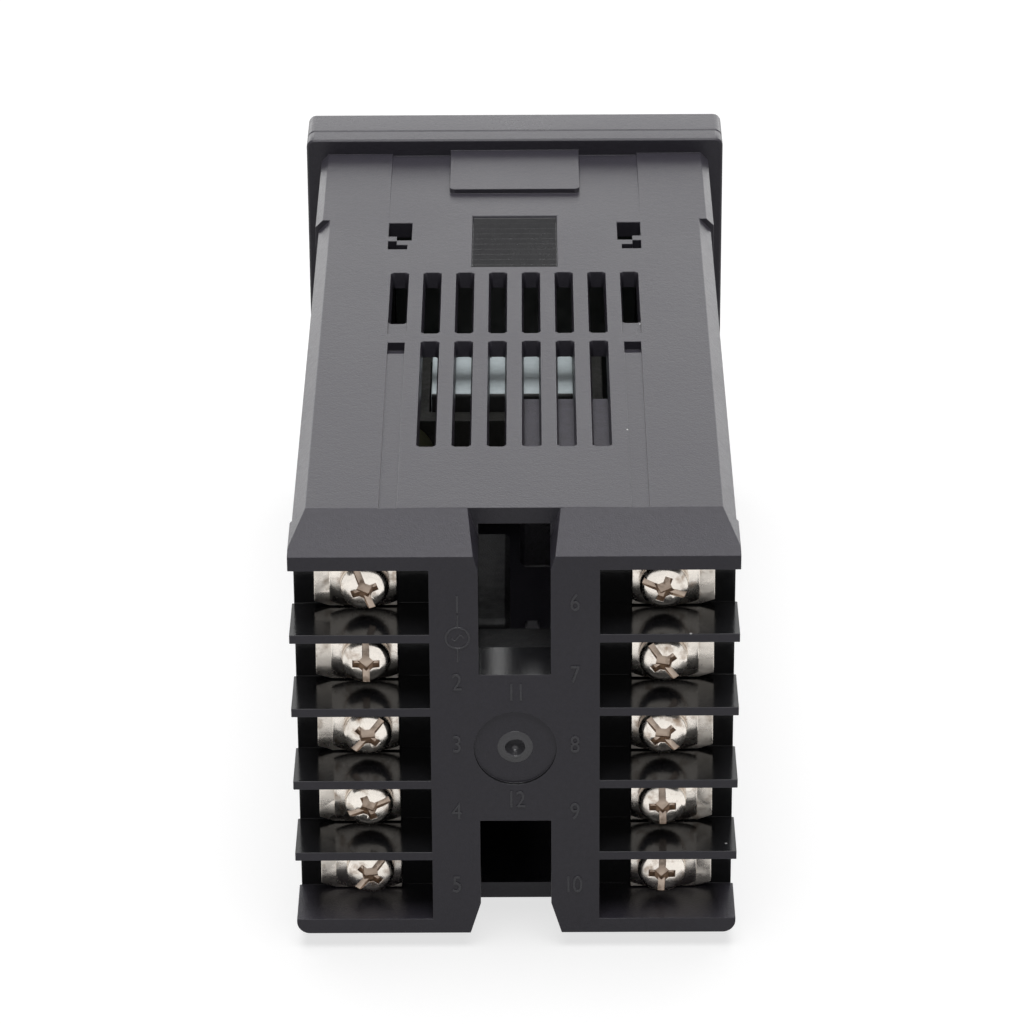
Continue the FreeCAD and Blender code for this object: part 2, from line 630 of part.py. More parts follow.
def make_outer_case():
    case = new_body("outer_case")
    case_outside(case)
    for name, end in FACES.items():
        case_face(case, name, end)
    case_inside(case)
    case_cells(case)
    case_centre(case)
    for name, end in FACES.items():
        hook_holes(case, name, end)
        vents(case, name, end)
    return case


# ---------------------------------------------------------------- terminals


def make_contact(number_on_block):
    """A screw plate against the cell's back wall, with a blade through the wall to the board's edge."""
    side = 1 if number_on_block <= len(CELLS) else -1
    row = (number_on_block - 1) % len(CELLS)
    body = new_body(f"terminal_contact_{number_on_block}")
    inner = f"{side} * (contact_place - contact_width / 2)"
    outer = f"{side} * (contact_place + contact_width / 2)"
    cut_x = f"{side} * (contact_place + contact_width / 2 - contact_cut)"
    floor = f"{cell_floor(row)} + contact_play"
    ceiling = f"{cell_ceiling(row)} - contact_play"
    plate = [(inner, floor), (cut_x, floor), (outer, f"{floor} + contact_rise"),
             (outer, ceiling), (inner, ceiling)]
    slab(body, f"plate_{number_on_block}", "body_length", "body_length + contact_thick",
         lambda sk: add_polygon(sk, plate))
    edges = facing(side, BLADE_IN, f"{BLADE_IN} + blade_thick")
    slab(body, f"blade_{number_on_block}", "body_length - back_wall - blade_reach", f"body_length + {OVERLAP}",
         lambda sk: add_rectangle(sk, *edges, f"{screw_height(row)} - blade_width / 2",
                                  f"{screw_height(row)} + blade_width / 2"))
    cut(body, f"thread_{number_on_block}", f"body_length - {PAST}", f"body_length + contact_thick + {PAST}",
        lambda sk: add_circle(sk, f"{side} * screw_place", screw_height(row), "screw_radius + screw_play"))
    return body


def group(label, pieces):
    """Like fasteners as one object made of separate solids."""
    feature = doc.addObject("Part::Feature", label)
    feature.Label = label
    feature.Shape = Part.makeCompound(pieces)
    return feature


def make_washers():
    """Square clamp washers with cut corners, one under each screw head."""
    wide, high, thick = (number(name) for name in ("washer_width", "washer_height", "washer_thick"))
    corner = number("washer_corner")
    rear = number("body_length + contact_thick")
    washers = []
    for side in SIDES.values():
        for row in CELLS:
            x, z = side * number("washer_place"), number(screw_height(row))
            plate = Part.makeBox(wide, thick, high, FreeCAD.Vector(x - wide / 2, rear, z - high / 2))
            plate = plate.makeChamfer(corner, [edge for edge in plate.Edges if runs(edge, ALONG_Y)])
            hole = Part.makeCylinder(number("screw_radius + screw_play"), 3 * thick,
                                     FreeCAD.Vector(side * number("screw_place"), rear - thick, z), ALONG_Y)
            washers.append(plate.cut(hole))
    return group("clamp_washers", washers)


def make_screw(x, z):
    """An M3 pan head screw."""
    seat = number("body_length + contact_thick + washer_thick")
    radius, high = number("head_radius"), number("head_height")
    centre = FreeCAD.Vector(x, seat, z)
    crown = number("head_crown")
    head = Part.makeCylinder(radius, high - crown, centre, ALONG_Y)
    head = head.fuse(Part.makeCone(radius, radius - crown, crown, centre + ALONG_Y * (high - crown), ALONG_Y))
    shank = Part.makeCylinder(number("screw_radius"), number("screw_length"),
                              FreeCAD.Vector(x, seat - number("screw_length"), z), ALONG_Y)
    return head.fuse(shank)


def make_screws():
    return group("terminal_screws", [make_screw(side * number("screw_place"), number(screw_height(row)))
                                     for side in SIDES.values() for row in CELLS])


# ---------------------------------------------------------------- inner unit, front


def key_places():
    return {name: f"({step} * key_pitch)" for name, step in
            (("set", 1.5), ("shift", 0.5), ("down", -0.5), ("up", -1.5))}


def add_window_outline(sketch, inset):
    wide = f"(window_width / 2 - {inset})"
    add_round_rectangle(sketch, f"0 - {wide}", wide, f"{inset} - window_bottom", f"window_top - {inset}",
                        "bezel_corner")


def add_key_outline(sketch, place, spare):
    wide, high = f"(key_width / 2 + {spare})", f"(key_height / 2 + {spare})"
    add_cut_rectangle(sketch, f"{place} - {wide}", f"{place} + {wide}",
                      f"0 - key_place - {high}", f"{high} - key_place", "key_corner")


def make_front_bezel():
    """Hollow front with the window recess, the key holes and the collar that slides into the case."""
    bezel = new_body("front_bezel")
    edge = "bezel_size / 2"
    slab(bezel, "bezel_block", BEZEL_FACE, BEZEL_REAR,
         lambda sk: add_round_rectangle(sk, f"0 - {edge}", edge, f"0 - {edge}", edge, "bezel_corner"))
    dress(bezel, "Chamfer", "bezel_edge", lambda e: at(e.BoundBox.YMax, BEZEL_FACE))
    slab(bezel, "collar", WALL_REAR, "collar_end",
         lambda sk: add_rectangle(sk, f"0 - {COLLAR_X}", COLLAR_X, f"0 - {COLLAR_Z}", COLLAR_Z))
    inner_x, inner_z = f"({COLLAR_X} - collar_wall)", f"({COLLAR_Z} - collar_wall)"
    cut(bezel, "hollow", WALL_REAR, f"collar_end + {PAST}",
        lambda sk: add_rectangle(sk, f"0 - {inner_x}", inner_x, f"0 - {inner_z}", inner_z))
    cut(bezel, "window_seat", f"{BEZEL_FACE} - {PAST}", f"{BEZEL_FACE} + window_thick",
        lambda sk: add_window_outline(sk, "(0 - window_play)"))
    cut(bezel, "window_hole", f"{BEZEL_FACE} - {PAST}", f"{WALL_REAR} + {PAST}",
        lambda sk: add_window_outline(sk, "window_lip"))

    def draw_key_holes(sketch):
        for place in key_places().values():
            add_key_outline(sketch, place, "key_play")

    cut(bezel, "key_holes", f"{BEZEL_FACE} - {PAST}", f"{WALL_REAR} + {PAST}", draw_key_holes)
    return bezel


def make_window():
    window = new_body("display_window")
    slab(window, "pane", BEZEL_FACE, f"{BEZEL_FACE} + window_thick - window_play",
         lambda sk: add_window_outline(sk, "0"))
    return window


def block(label, x_ends, y_ends, z_ends):
    """A plain box between places given as expressions."""
    box = doc.addObject("Part::Box", label)
    box.Label = label
    for name, axis, (low, high) in (("Length", "x", x_ends), ("Width", "y", y_ends), ("Height", "z", z_ends)):
        box.setExpression(name, bound(f"({high}) - ({low})"))
        box.setExpression(f"Placement.Base.{axis}", bound(low))
    return box


def make_display_parts():
    """The display board and what is soldered on its front."""
    wide = f"({COLLAR_X} - collar_wall - collar_gap)"
    high = f"({COLLAR_Z} - collar_wall - collar_gap)"
    parts = [block("display_board", (f"0 - {wide}", wide), ("display_face", DISPLAY_REAR),
                   (f"0 - {high}", high))]
    depth = (f"{BEZEL_FACE} + window_thick + display_play", "display_face - display_play")
    for label, line in (("pv_display", "upper"), ("sv_display", "lower")):
        parts.append(block(label, ("0 - digits_width / 2", "digits_width / 2"), depth,
                           (f"{line}_place - {line}_digits / 2", f"{line}_place + {line}_digits / 2")))
    for rank, place in enumerate(key_places().values(), start=1):
        lamp = (f"{place} - lamp_width / 2", f"{place} + lamp_width / 2")
        parts.append(block(f"indicator_lamp_{rank}", lamp, ("display_face - display_play - lamp_depth",
                                                            "display_face - display_play"),
                           ("0 - lamp_place - lamp_height / 2", "lamp_height / 2 - lamp_place")))
    return parts


def make_key(name, place):
    """A key cap with the rim that keeps it behind the bezel wall, and a short stem."""
    key = new_body(f"key_{name}")
    rim_front = f"({WALL_REAR} + display_play)"
    stem_end = f"({SWITCH_FRONT} - plunger_proud - plunger_play)"
    slab(key, f"cap_{name}", f"{BEZEL_FACE} - key_proud", rim_front, lambda sk: add_key_outline(sk, place, "0"))
    dress(key, "Chamfer", "key_edge", lambda e: at(e.BoundBox.YMax, f"{BEZEL_FACE} - key_proud"))
    slab(key, f"rim_{name}", rim_front, f"{rim_front} + key_rim_thick",
         lambda sk: add_key_outline(sk, place, "key_rim"))
    slab(key, f"stem_{name}", f"{rim_front} + key_rim_thick", stem_end,
         lambda sk: add_circle(sk, place, "0 - key_place", "plunger_radius"))
    return key


def cylinder(label, radius, length, place):
    """A cylinder along Y from a place given as three expressions."""
    rod = doc.addObject("Part::Cylinder", label)
    rod.Label = label
    rod.Placement.Rotation = FreeCAD.Rotation(ALONG_X, -90)
    rod.setExpression("Radius", bound(radius))
    rod.setExpression("Height", bound(length))
    for axis, text in zip("xyz", place):
        rod.setExpression(f"Placement.Base.{axis}", bound(text))
    return rod


def make_switch(name, place):
    """The switch body with a round hole for its plunger."""
    ends = (f"{place} - switch_size / 2", f"{place} + switch_size / 2")
    body = block(f"switch_body_{name}", ends, (SWITCH_FRONT, "display_face - display_play"),
                 ("0 - key_place - switch_size / 2", "switch_size / 2 - key_place"))
    hole = cylinder(f"switch_hole_{name}", "plunger_radius + plunger_play",
                    f"plunger_sunk + key_travel + 2 * plunger_play + {PAST}",
                    (place, f"{SWITCH_FRONT} - {PAST}", "0 - key_place"))
    switch = doc.addObject("Part::Cut", f"switch_{name}")
    switch.Label = f"switch_{name}"
    switch.Base = body
    switch.Tool = hole
    return switch


def make_plunger(name, place):
    return cylinder(f"plunger_{name}", "plunger_radius", "plunger_proud + plunger_sunk",
                    (place, f"{SWITCH_FRONT} - plunger_proud", "0 - key_place"))


# ---------------------------------------------------------------- inner unit, boards and components


def make_side_board(name, side):
    """A board that runs the length of the case, with a tongue inside the bezel's collar."""
    board = new_body(f"{name}_board")
    sketch = new_sketch(board, f"{name}_board_outline", "YZ_Plane", f"{side} * board_place")
    front, shoulder = f"({DISPLAY_REAR} + board_gap)", "(collar_end + board_gap)"
    add_polygon(sketch, [
        (front, "0 - tongue_height / 2"), (shoulder, "0 - tongue_height / 2"), (shoulder, f"0 - {BOARD_TOP}"),
        (BOARD_REAR, f"0 - {BOARD_TOP}"), (BOARD_REAR, BOARD_TOP), (shoulder, BOARD_TOP),
        (shoulder, "tongue_height / 2"), (front, "tongue_height / 2")])
    extrude(board, "Pad", sketch, "board_thick", middle=True)
    return board


def make_header(name, side):
    start = f"({DISPLAY_REAR} + display_play)"
    across = facing(side, f"{BOARD_IN} - part_gap - header_size", f"{BOARD_IN} - part_gap")
    return block(f"{name}_header", across, (start, f"{start} + header_size"),
                 ("0 - header_length / 2", "header_length / 2"))


def make_transformer():
    """A winding on a bobbin whose foot reaches the left board, inside a rectangular ferrite core."""
    top, low = "winding_top", "(winding_top - winding_height)"
    middle = f"(({top} + {low}) / 2)"
    end = "(winding_start + winding_length)"
    winding = new_body("transformer_winding")
    sketch = new_sketch(winding, "winding_outline", "YZ_Plane", "0 - winding_right")
    add_round_rectangle(sketch, "winding_start", end, low, top, "winding_round")
    extrude(winding, "Pad", sketch, "winding_left + winding_right")
    foot = new_sketch(winding, "bobbin_foot", "YZ_Plane", f"winding_left - {OVERLAP}")
    reach = f"({BOARD_IN} - part_gap - winding_left + {OVERLAP})"
    add_rectangle(foot, "winding_start + 2 * core_leg", f"{end} - 2 * core_leg",
                  f"{low} - foot_height + core_leg", f"{middle} - core_height / 2 - core_play")
    extrude(winding, "Pad", foot, reach)
    core = new_body("transformer_core")
    ring = new_sketch(core, "core_ring", "XY_Plane", f"{middle} - core_height / 2")
    left, right = "(winding_left + core_play)", "(0 - winding_right - core_play)"
    front, back = "(winding_start - core_play)", f"({end} + core_play)"
    add_rectangle(ring, f"{right} - core_yoke", f"{left} + core_yoke",
                  f"{front} - core_leg", f"{back} + core_leg")
    add_rectangle(ring, right, left, front, back)
    extrude(core, "Pad", ring, "core_height")
    return [winding, core]


def make_relay(name, side):
    """A sealed relay whose pins point at the board beside it."""
    relay = new_body(f"{name}_relay")
    foot = f"({side} * ({BOARD_IN} - part_gap))"
    sketch = new_sketch(relay, f"{name}_outline", "YZ_Plane", foot)
    add_rectangle(sketch, f"{name}_start", f"{name}_start + relay_length",
                  f"{name}_top - relay_thick", f"{name}_top")
    extrude(relay, "Pad", sketch, "relay_depth", back=side > 0)
    dress(relay, "Chamfer", "relay_edge",
          lambda e: not (at(e.BoundBox.XMin, foot) and at(e.BoundBox.XMax, foot)))
    return relay


def make_capacitor(name, side, height):
    """An electrolytic can that lies along its board."""
    across = f"{side} * ({BOARD_IN} - part_gap - {name}_radius)"
    return cylinder(f"{name}_capacitor", f"{name}_radius", f"{name}_length",
                    (across, f"{name}_start", height))


def make_components():
    across = facing(SIDES["right"], f"{BOARD_IN} - part_gap - chip_thick", f"{BOARD_IN} - part_gap")
    chip = block("microcontroller", across, ("chip_start", "chip_start + chip_size"),
                 ("0 - chip_drop - chip_size / 2", "chip_size / 2 - chip_drop"))
    return make_transformer() + [
        make_relay("control", SIDES["right"]), make_relay("alarm", SIDES["left"]),
        make_capacitor("filter", SIDES["left"], "filter_rise"),
        make_capacitor("output", SIDES["right"], "0 - output_drop"), chip]


# ---------------------------------------------------------------- whole controller


def make_everything():
    parts = [make_outer_case()]
    parts += [make_contact(rank) for rank in range(1, 2 * len(CELLS) + 1)]
    parts += [make_washers(), make_screws(), make_front_bezel(), make_window()]
    parts += make_display_parts()
    for name, place in key_places().items():
        parts += [make_key(name, place), make_switch(name, place), make_plunger(name, place)]
    for name, side in SIDES.items():
        parts += [make_side_board(name, side), make_header(name, side)]
    return parts + make_components()


PARTS = make_everything()
doc.recompute()
for item in doc.Objects:
    if "Invalid" in item.State or "Error" in item.State:
        raise ValueError(f"{item.Label} failed: {item.State}")
for item in PARTS:
    if item.Shape.isNull() or not item.Shape.isValid() or not item.Shape.Solids:
        raise ValueError(f"{item.Label} has no valid solid")
os.makedirs("parts", exist_ok=True)
for item in PARTS:
    item.Shape.exportStep(f"parts/{item.Label}.step")
print(len(PARTS), "parts")
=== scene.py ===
"""Looks of a panel temperature controller on a white ground, seen from the rear and above."""
import json
import math
import random

import bmesh
import bpy
from mathutils import Matrix, Vector


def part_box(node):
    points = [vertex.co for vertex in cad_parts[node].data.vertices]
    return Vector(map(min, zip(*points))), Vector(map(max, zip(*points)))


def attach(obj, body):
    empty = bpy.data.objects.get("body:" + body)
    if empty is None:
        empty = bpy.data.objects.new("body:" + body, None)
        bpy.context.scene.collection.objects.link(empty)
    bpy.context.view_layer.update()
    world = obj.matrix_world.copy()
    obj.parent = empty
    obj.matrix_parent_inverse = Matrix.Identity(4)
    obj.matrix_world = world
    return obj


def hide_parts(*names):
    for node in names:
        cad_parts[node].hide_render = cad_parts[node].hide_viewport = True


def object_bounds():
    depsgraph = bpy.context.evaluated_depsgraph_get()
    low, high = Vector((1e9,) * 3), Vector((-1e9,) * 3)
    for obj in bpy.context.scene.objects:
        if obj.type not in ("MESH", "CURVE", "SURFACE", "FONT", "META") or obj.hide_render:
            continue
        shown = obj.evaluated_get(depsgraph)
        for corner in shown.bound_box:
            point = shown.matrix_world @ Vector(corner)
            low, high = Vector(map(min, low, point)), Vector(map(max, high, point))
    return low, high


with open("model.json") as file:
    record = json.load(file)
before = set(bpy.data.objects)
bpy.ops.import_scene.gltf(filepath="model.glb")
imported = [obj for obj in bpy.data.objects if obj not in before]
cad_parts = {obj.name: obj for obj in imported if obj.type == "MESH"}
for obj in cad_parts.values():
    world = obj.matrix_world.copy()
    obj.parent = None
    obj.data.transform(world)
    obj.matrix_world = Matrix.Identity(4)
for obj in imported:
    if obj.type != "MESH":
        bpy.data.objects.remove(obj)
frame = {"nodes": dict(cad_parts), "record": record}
CAD_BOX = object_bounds()

MM = 0.001
WELD = 0.002 * MM  # vertices of a CAD mesh that lie nearer than this become one
CUT = 0.001 * MM  # vertices nearer than this to a cutting plane count as on it


# ---------------------------------------------------------------- material building blocks


class Shader:
    """A material with its Principled shader and short ways to add nodes."""

    def __init__(self, name):
        self.material = bpy.data.materials.new(name)
        self.material.use_nodes = True
        self.nodes = self.material.node_tree.nodes
        self.links = self.material.node_tree.links
        self.shader = self.nodes["Principled BSDF"]
        self.place = self.nodes.new("ShaderNodeTexCoord").outputs["Object"]

    def add(self, kind, inputs=None, **settings):
        node = self.nodes.new(f"ShaderNode{kind}")
        for name, value in settings.items():
            setattr(node, name, value)
        for name, value in (inputs or {}).items():
            self.feed(node.inputs[name], value)
        return node

    def feed(self, socket, value):
        if isinstance(value, bpy.types.NodeSocket):
            self.links.new(value, socket)
        else:
            socket.default_value = value

    def noise(self, scale, detail=2.0, roughness=0.5, stretch=None):
        place = self.place
        if stretch:
            mapping = self.add("Mapping", {"Vector": place, "Scale": stretch})
            place = mapping.outputs["Vector"]
        return self.add("TexNoise", {"Vector": place, "Scale": scale, "Detail": detail,
                                     "Roughness": roughness}).outputs["Fac"]

    def span(self, value, low, high, to_low=0.0, to_high=1.0):
        """The value, taken from one range to another and kept inside it."""
        return self.add("MapRange", {"Value": value, "From Min": low, "From Max": high,
                                     "To Min": to_low, "To Max": to_high}).outputs["Result"]

    def maths(self, operation, first, second):
        node = self.add("Math", operation=operation)
        self.feed(node.inputs[0], first)
        self.feed(node.inputs[1], second)
        return node.outputs[0]

    def blend(self, share, first, second):
        """Two colours mixed by a share."""
        node = self.add("Mix", data_type="RGBA")
        self.feed(node.inputs[0], share)
        self.feed(node.inputs[6], first)
        self.feed(node.inputs[7], second)
        return node.outputs[2]

    def bump(self, height, strength, distance):
        bump = self.add("Bump", {"Height": height, "Strength": strength, "Distance": distance})
        return bump.outputs["Normal"]

    def finish(self, **sockets):
        """The material, with values or outputs fed to the shader's own sockets."""
        for name, value in sockets.items():
            self.feed(self.shader.inputs[name.replace("_", " ")], value)
        return self.material


def grey(value, warmth=0.0):
    """A grey from its 0-255 display value, as a linear colour; warmth shifts it towards red."""
    def linear(level):
        level = max(level, 0) / 255
        return level / 12.92 if level <= 0.04045 else ((level + 0.055) / 1.055) ** 2.4
    return (linear(value + warmth), linear(value), linear(value - warmth), 1.0)


def colour(red, green, blue):
    """A colour from its 0-255 display values, as a linear colour."""
    return tuple(grey(level)[0] for level in (red, green, blue)) + (1.0,)


def shade(tone, share):
    """The same colour, darker or lighter."""
    return tuple(level * share for level in tone[:3]) + (1.0,)


def moulded(name, tone, grain=0.5, rough=0.5, dust=0.0, specular=0.5):
    """Moulded plastic: spark-eroded grain, faint flow marks and, where asked, specks of dust."""
    s = Shader(name)
    fine = s.noise(5200, 3.0, 0.6)
    coarse = s.noise(1500)
    flow = s.noise(60, 4.0, 0.55)
    mottle = s.span(s.maths("ADD", fine, coarse), 0.7, 1.3)
    base = s.blend(mottle, shade(tone, 0.9), shade(tone, 1.1))
    base = s.blend(s.span(flow, 0.35, 0.7, 0.0, 0.2), base, shade(tone, 1.25))
    if dust:
        cell = s.add("TexVoronoi", {"Vector": s.place, "Scale": 520})
        speck = s.span(cell.outputs["Distance"], 0.05, 0.09, 1.0, 0.0)
        chance = s.add("SeparateColor", {"Color": cell.outputs["Color"]}).outputs[0]
        chosen = s.maths("GREATER_THAN", chance, 1 - dust)
        base = s.blend(s.maths("MULTIPLY", speck, chosen), base, grey(205))
    normal = s.bump(s.maths("ADD", s.maths("MULTIPLY", coarse, 0.6), fine), grain, 0.05 * MM)
    roughness = s.span(s.maths("ADD", coarse, flow), 0.7, 1.3, rough - 0.03, rough + 0.04)
    return s.finish(Base_Color=base, Roughness=roughness, Normal=normal,
                    Specular_IOR_Level=specular)


def plated(name, tone, stain, rough):
    """Nickel plate over steel: soft brushed streaks, blotchy dulling and brown stains in places."""
    s = Shader(name)
    streaks = s.noise(500, stretch=(1.0, 0.3, 2.0))
    blotch = s.noise(700, 4.0, 0.6)
    fine = s.noise(4000)
    base = s.blend(s.span(blotch, 0.54, 0.76), tone, stain)
    base = s.blend(s.span(fine, 0.4, 0.7, 0.0, 0.2), base, shade(tone, 0.75))
    normal = s.bump(s.maths("ADD", streaks, fine), 0.2, 0.02 * MM)
    roughness = s.span(s.maths("ADD", streaks, blotch), 0.7, 1.4, rough - 0.08, rough + 0.22)
    return s.finish(Base_Color=base, Roughness=roughness, Normal=normal, Metallic=1.0)


def mottled(name, painted_inner_shade, light, scale, rough=0.6):
    """A cast or taped surface with cloudy patches."""
    s = Shader(name)
    cloud = s.noise(scale, 5.0, 0.65)
    fine = s.noise(scale * 6, 3.0, 0.6)
    patches = s.span(s.maths("ADD", cloud, s.maths("MULTIPLY", fine, 0.5)), 0.55, 1.0)
    base = s.blend(patches, painted_inner_shade, light)
    normal = s.bump(s.maths("ADD", cloud, fine), 0.5, 0.1 * MM)
    roughness = s.span(cloud, 0.3, 0.7, rough - 0.1, rough + 0.15)
    return s.finish(Base_Color=base, Roughness=roughness, Normal=normal)


def laminate(name):
    """A circuit board: solder mask with copper runs showing as slightly lighter, raised lines."""
    s = Shader(name)
    grid = s.add("TexBrick", {"Vector": s.place, "Scale": 420.0, "Color1": grey(0),
                              "Color2": grey(60), "Mortar": grey(255), "Mortar Size": 0.018})
    runs = s.span(s.noise(260, 1.0), 0.5, 0.53)
    copper = s.maths("MULTIPLY", s.maths("SUBTRACT", 1.0, grid.outputs["Fac"]), runs)
    base = s.blend(copper, colour(18, 44, 34), colour(34, 76, 54))
    normal = s.bump(copper, 0.6, 0.04 * MM)
    roughness = s.span(s.noise(900), 0.3, 0.7, 0.28, 0.42)
    return s.finish(Base_Color=base, Roughness=roughness, Normal=normal)


def smoked_window(name):
    """Dark tinted window: clear enough to show the display modules behind it as shades."""
    s = Shader(name)
    haze = s.noise(300, 3.0)
    base = s.blend(haze, grey(62), grey(74))
    normal = s.bump(s.noise(60, 1.0), 0.05, 0.1 * MM)
    roughness = s.span(haze, 0.3, 0.7, 0.05, 0.1)
    return s.finish(Base_Color=base, Roughness=roughness, Normal=normal,
                    Transmission_Weight=0.9, IOR=1.49)


CASE = moulded("case_plastic_look", colour(55, 53, 60), rough=0.33, dust=0.02, specular=0.28)
GATE = moulded("gate_look", colour(68, 67, 71), grain=0.3, rough=0.22)
# painted shade: a darker copy of the case plastic, for the faces of the rack's teeth and the low
# walls of the guide grooves
PAINTED_RELIEF_SHADE = moulded("relief_painted_shade_look", colour(20, 20, 23), grain=0.2, rough=0.24, specular=0.2)
CELL = moulded("case_inside_look", colour(32, 32, 34), grain=0.1, rough=0.13, dust=0.012,
               specular=0.26)
# painted highlight: a lighter, shinier copy of the case plastic for the raised numbers and the
# mains sign
PAINTED_HIGHLIGHT_MARK = moulded("raised_mark_painted_highlight_look", colour(64, 63, 68), grain=0.2, rough=0.3, specular=0.4)
BEZEL = moulded("bezel_plastic_look", colour(55, 53, 60), rough=0.3, specular=0.3)
BLACK = moulded("black_plastic_look", grey(34))
KEY = moulded("key_rubber_look", grey(112, -1), rough=0.65)
SYMBOL = moulded("key_symbol_look", grey(225), grain=0.1)
NICKEL = plated("nickel_look", colour(238, 231, 222), colour(150, 126, 104), 0.2)
RECESS = plated("screw_recess_look", colour(186, 170, 156), colour(96, 78, 64), 0.34)
CONTACT = plated("contact_look", colour(226, 219, 210), colour(150, 134, 118), 0.26)
TAPE = mottled("winding_tape_look", colour(186, 197, 200), colour(206, 216, 219), 240)
RELAY = mottled("relay_look", colour(54, 52, 58), colour(88, 86, 94), 900)
# painted shade: a darker copy of the relay look, for the alarm relay and the front of the centre
# slots' floors, where little light reaches
PAINTED_INNER_SHADE = mottled("inner_painted_shade_look", colour(15, 15, 16), colour(24, 24, 26), 900)
FERRITE = mottled("ferrite_look", colour(19, 19, 15), colour(30, 30, 26), 1500)
SLEEVE = moulded("sleeve_look", colour(48, 48, 34), rough=0.3)
BOARD = laminate("board_look")
DIGIT_FACE = moulded("display_look", grey(30), rough=0.3)
SEGMENT = moulded("segment_look", grey(96, 4), grain=0.1, rough=0.4)
WINDOW = smoked_window("window_look")

BODY_OF = {node: body for body, nodes in frame["record"]["behaviour"]["bodies"].items()
           for node in nodes}


# ---------------------------------------------------------------- geometry helpers


def shown(name, data):
    """A new object in the scene."""
    thing = bpy.data.objects.new(name, data)
    bpy.context.collection.objects.link(thing)
    return thing


def opened(mesh):
    """A bmesh with what a mesh holds."""
    bm = bmesh.new()
    bm.from_mesh(mesh)
    return bm


def stored(bm, mesh):
    """The mesh, with what the bmesh holds; the bmesh is gone after."""
    bm.to_mesh(mesh)
    bm.free()
    return mesh


def box_of(node):
    """The lowest and the highest corner of a CAD node."""
    return [Vector(corner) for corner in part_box(node)]


def extent(places):
    """The lowest and the highest corner round some places."""
    return [Vector([pick(place[axis] for place in places) for axis in range(3)])
            for pick in (min, max)]


def turns_round(count):
    """That many angles, evenly once round."""
    return [2 * math.pi * step / count for step in range(count)]


def polar(radius, height, turn):
    """A place round the Y axis."""
    return Vector((radius * math.cos(turn), height, radius * math.sin(turn)))


def stands_for(piece, node):
    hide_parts(node)


def smooth_shading(mesh, smooth=True):
    for polygon in mesh.polygons:
        polygon.use_smooth = smooth


def add_piece(name, bm, material, body, smooth=True):
    """A new piece from a bmesh, riding on a body."""
    mesh = stored(bm, bpy.data.meshes.new(name))
    mesh.materials.append(material)
    smooth_shading(mesh, smooth)
    piece = shown(name, mesh)
    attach(piece, body)
    return piece


# edges of a CAD mesh: the turns in degrees from which an edge is hard, a long one is a gentle
# fold, and one between broad faces is creased
HARD_TURN, GENTLE_TURN, CREASE_TURN = 28, 10, 1.5
LONG_FOLD = 5 * MM
BROAD_FACE = 4 * MM ** 2


def mark_edges(bm):
    """Bevel weights on hard edges and on the long gentle folds across the case, and sharp marks
    on the creases between broad faces."""
    weight = bm.edges.layers.float.new("bevel_weight_edge")
    for edge in bm.edges:
        if len(edge.link_faces) != 2:
            continue
        turn = math.degrees(edge.calc_face_angle(0))
        run = edge.verts[1].co - edge.verts[0].co
        crosswise = run.length > LONG_FOLD and abs(run.x) > 0.99 * run.length
        edge[weight] = 1.0 if turn > HARD_TURN or (turn > GENTLE_TURN and crosswise) else 0.0
        broad = min(face.calc_area() for face in edge.link_faces) > BROAD_FACE
        if turn > CREASE_TURN and broad:
            edge.smooth = False


def clean_copy(node, name):
    """A welded copy of a CAD node's mesh with its flat faces made whole."""
    mesh = frame["nodes"][node].data.copy()
    mesh.name = name
    mesh.materials.clear()
    bm = opened(mesh)
    bmesh.ops.remove_doubles(bm, verts=bm.verts, dist=WELD)
    bmesh.ops.dissolve_limit(bm, angle_limit=math.radians(0.6), verts=bm.verts, edges=bm.edges)
    mark_edges(bm)
    return shown(name, stored(bm, mesh))


def soften(piece, width, segments=2, weighted=False):
    """Small roundings on the marked edges, as a mould or a press leaves them; pieces with large
    faces need their normals weighted by area."""
    smooth_shading(piece.data)
    bevel = piece.modifiers.new("edges", "BEVEL")
    bevel.width = width * MM
    bevel.segments = segments
    bevel.limit_method = "WEIGHT"
    bevel.use_clamp_overlap = False
    bevel.miter_outer = "MITER_SHARP"
    if weighted:
        flat = piece.modifiers.new("flat_faces", "WEIGHTED_NORMAL")
        flat.weight = 100
        flat.keep_sharp = True
    else:
        bevel.harden_normals = True


def soften_sharp(piece, width, angle):
    """Small roundings on every edge that turns by more than an angle in degrees."""
    bevel = piece.modifiers.new("edges", "BEVEL")
    bevel.width = width * MM
    bevel.segments = 2
    bevel.limit_method = "ANGLE"
    bevel.angle_limit = math.radians(angle)


def dressed(node, material, width=0.1, segments=2, weighted=False):
    """A CAD node's piece with rounded edges and its finish."""
    piece = clean_copy(node, f"{node}_look")
    soften(piece, width, segments, weighted)
    piece.data.materials.append(material)
    stands_for(piece, node)
    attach(piece, BODY_OF[node])
    return piece


def solids_of(node):
    """The corners of each solid of a node, as the terminals are numbered: the left column from
    the top down, then the right column."""
    bm = opened(frame["nodes"][node].data)
    bmesh.ops.remove_doubles(bm, verts=bm.verts, dist=WELD)
    left, boxes = set(bm.verts), []
    while left:
        stack, part = [left.pop()], []
        while stack:
            vert = stack.pop()
            part.append(vert.co.copy())
            for edge in vert.link_edges:
                other = edge.other_vert(vert)
                if other in left:
                    left.remove(other)
                    stack.append(other)
        boxes.append(extent(part))
    bm.free()
    return sorted(boxes, key=lambda box: (box[0].x < 0, -box[1].z))


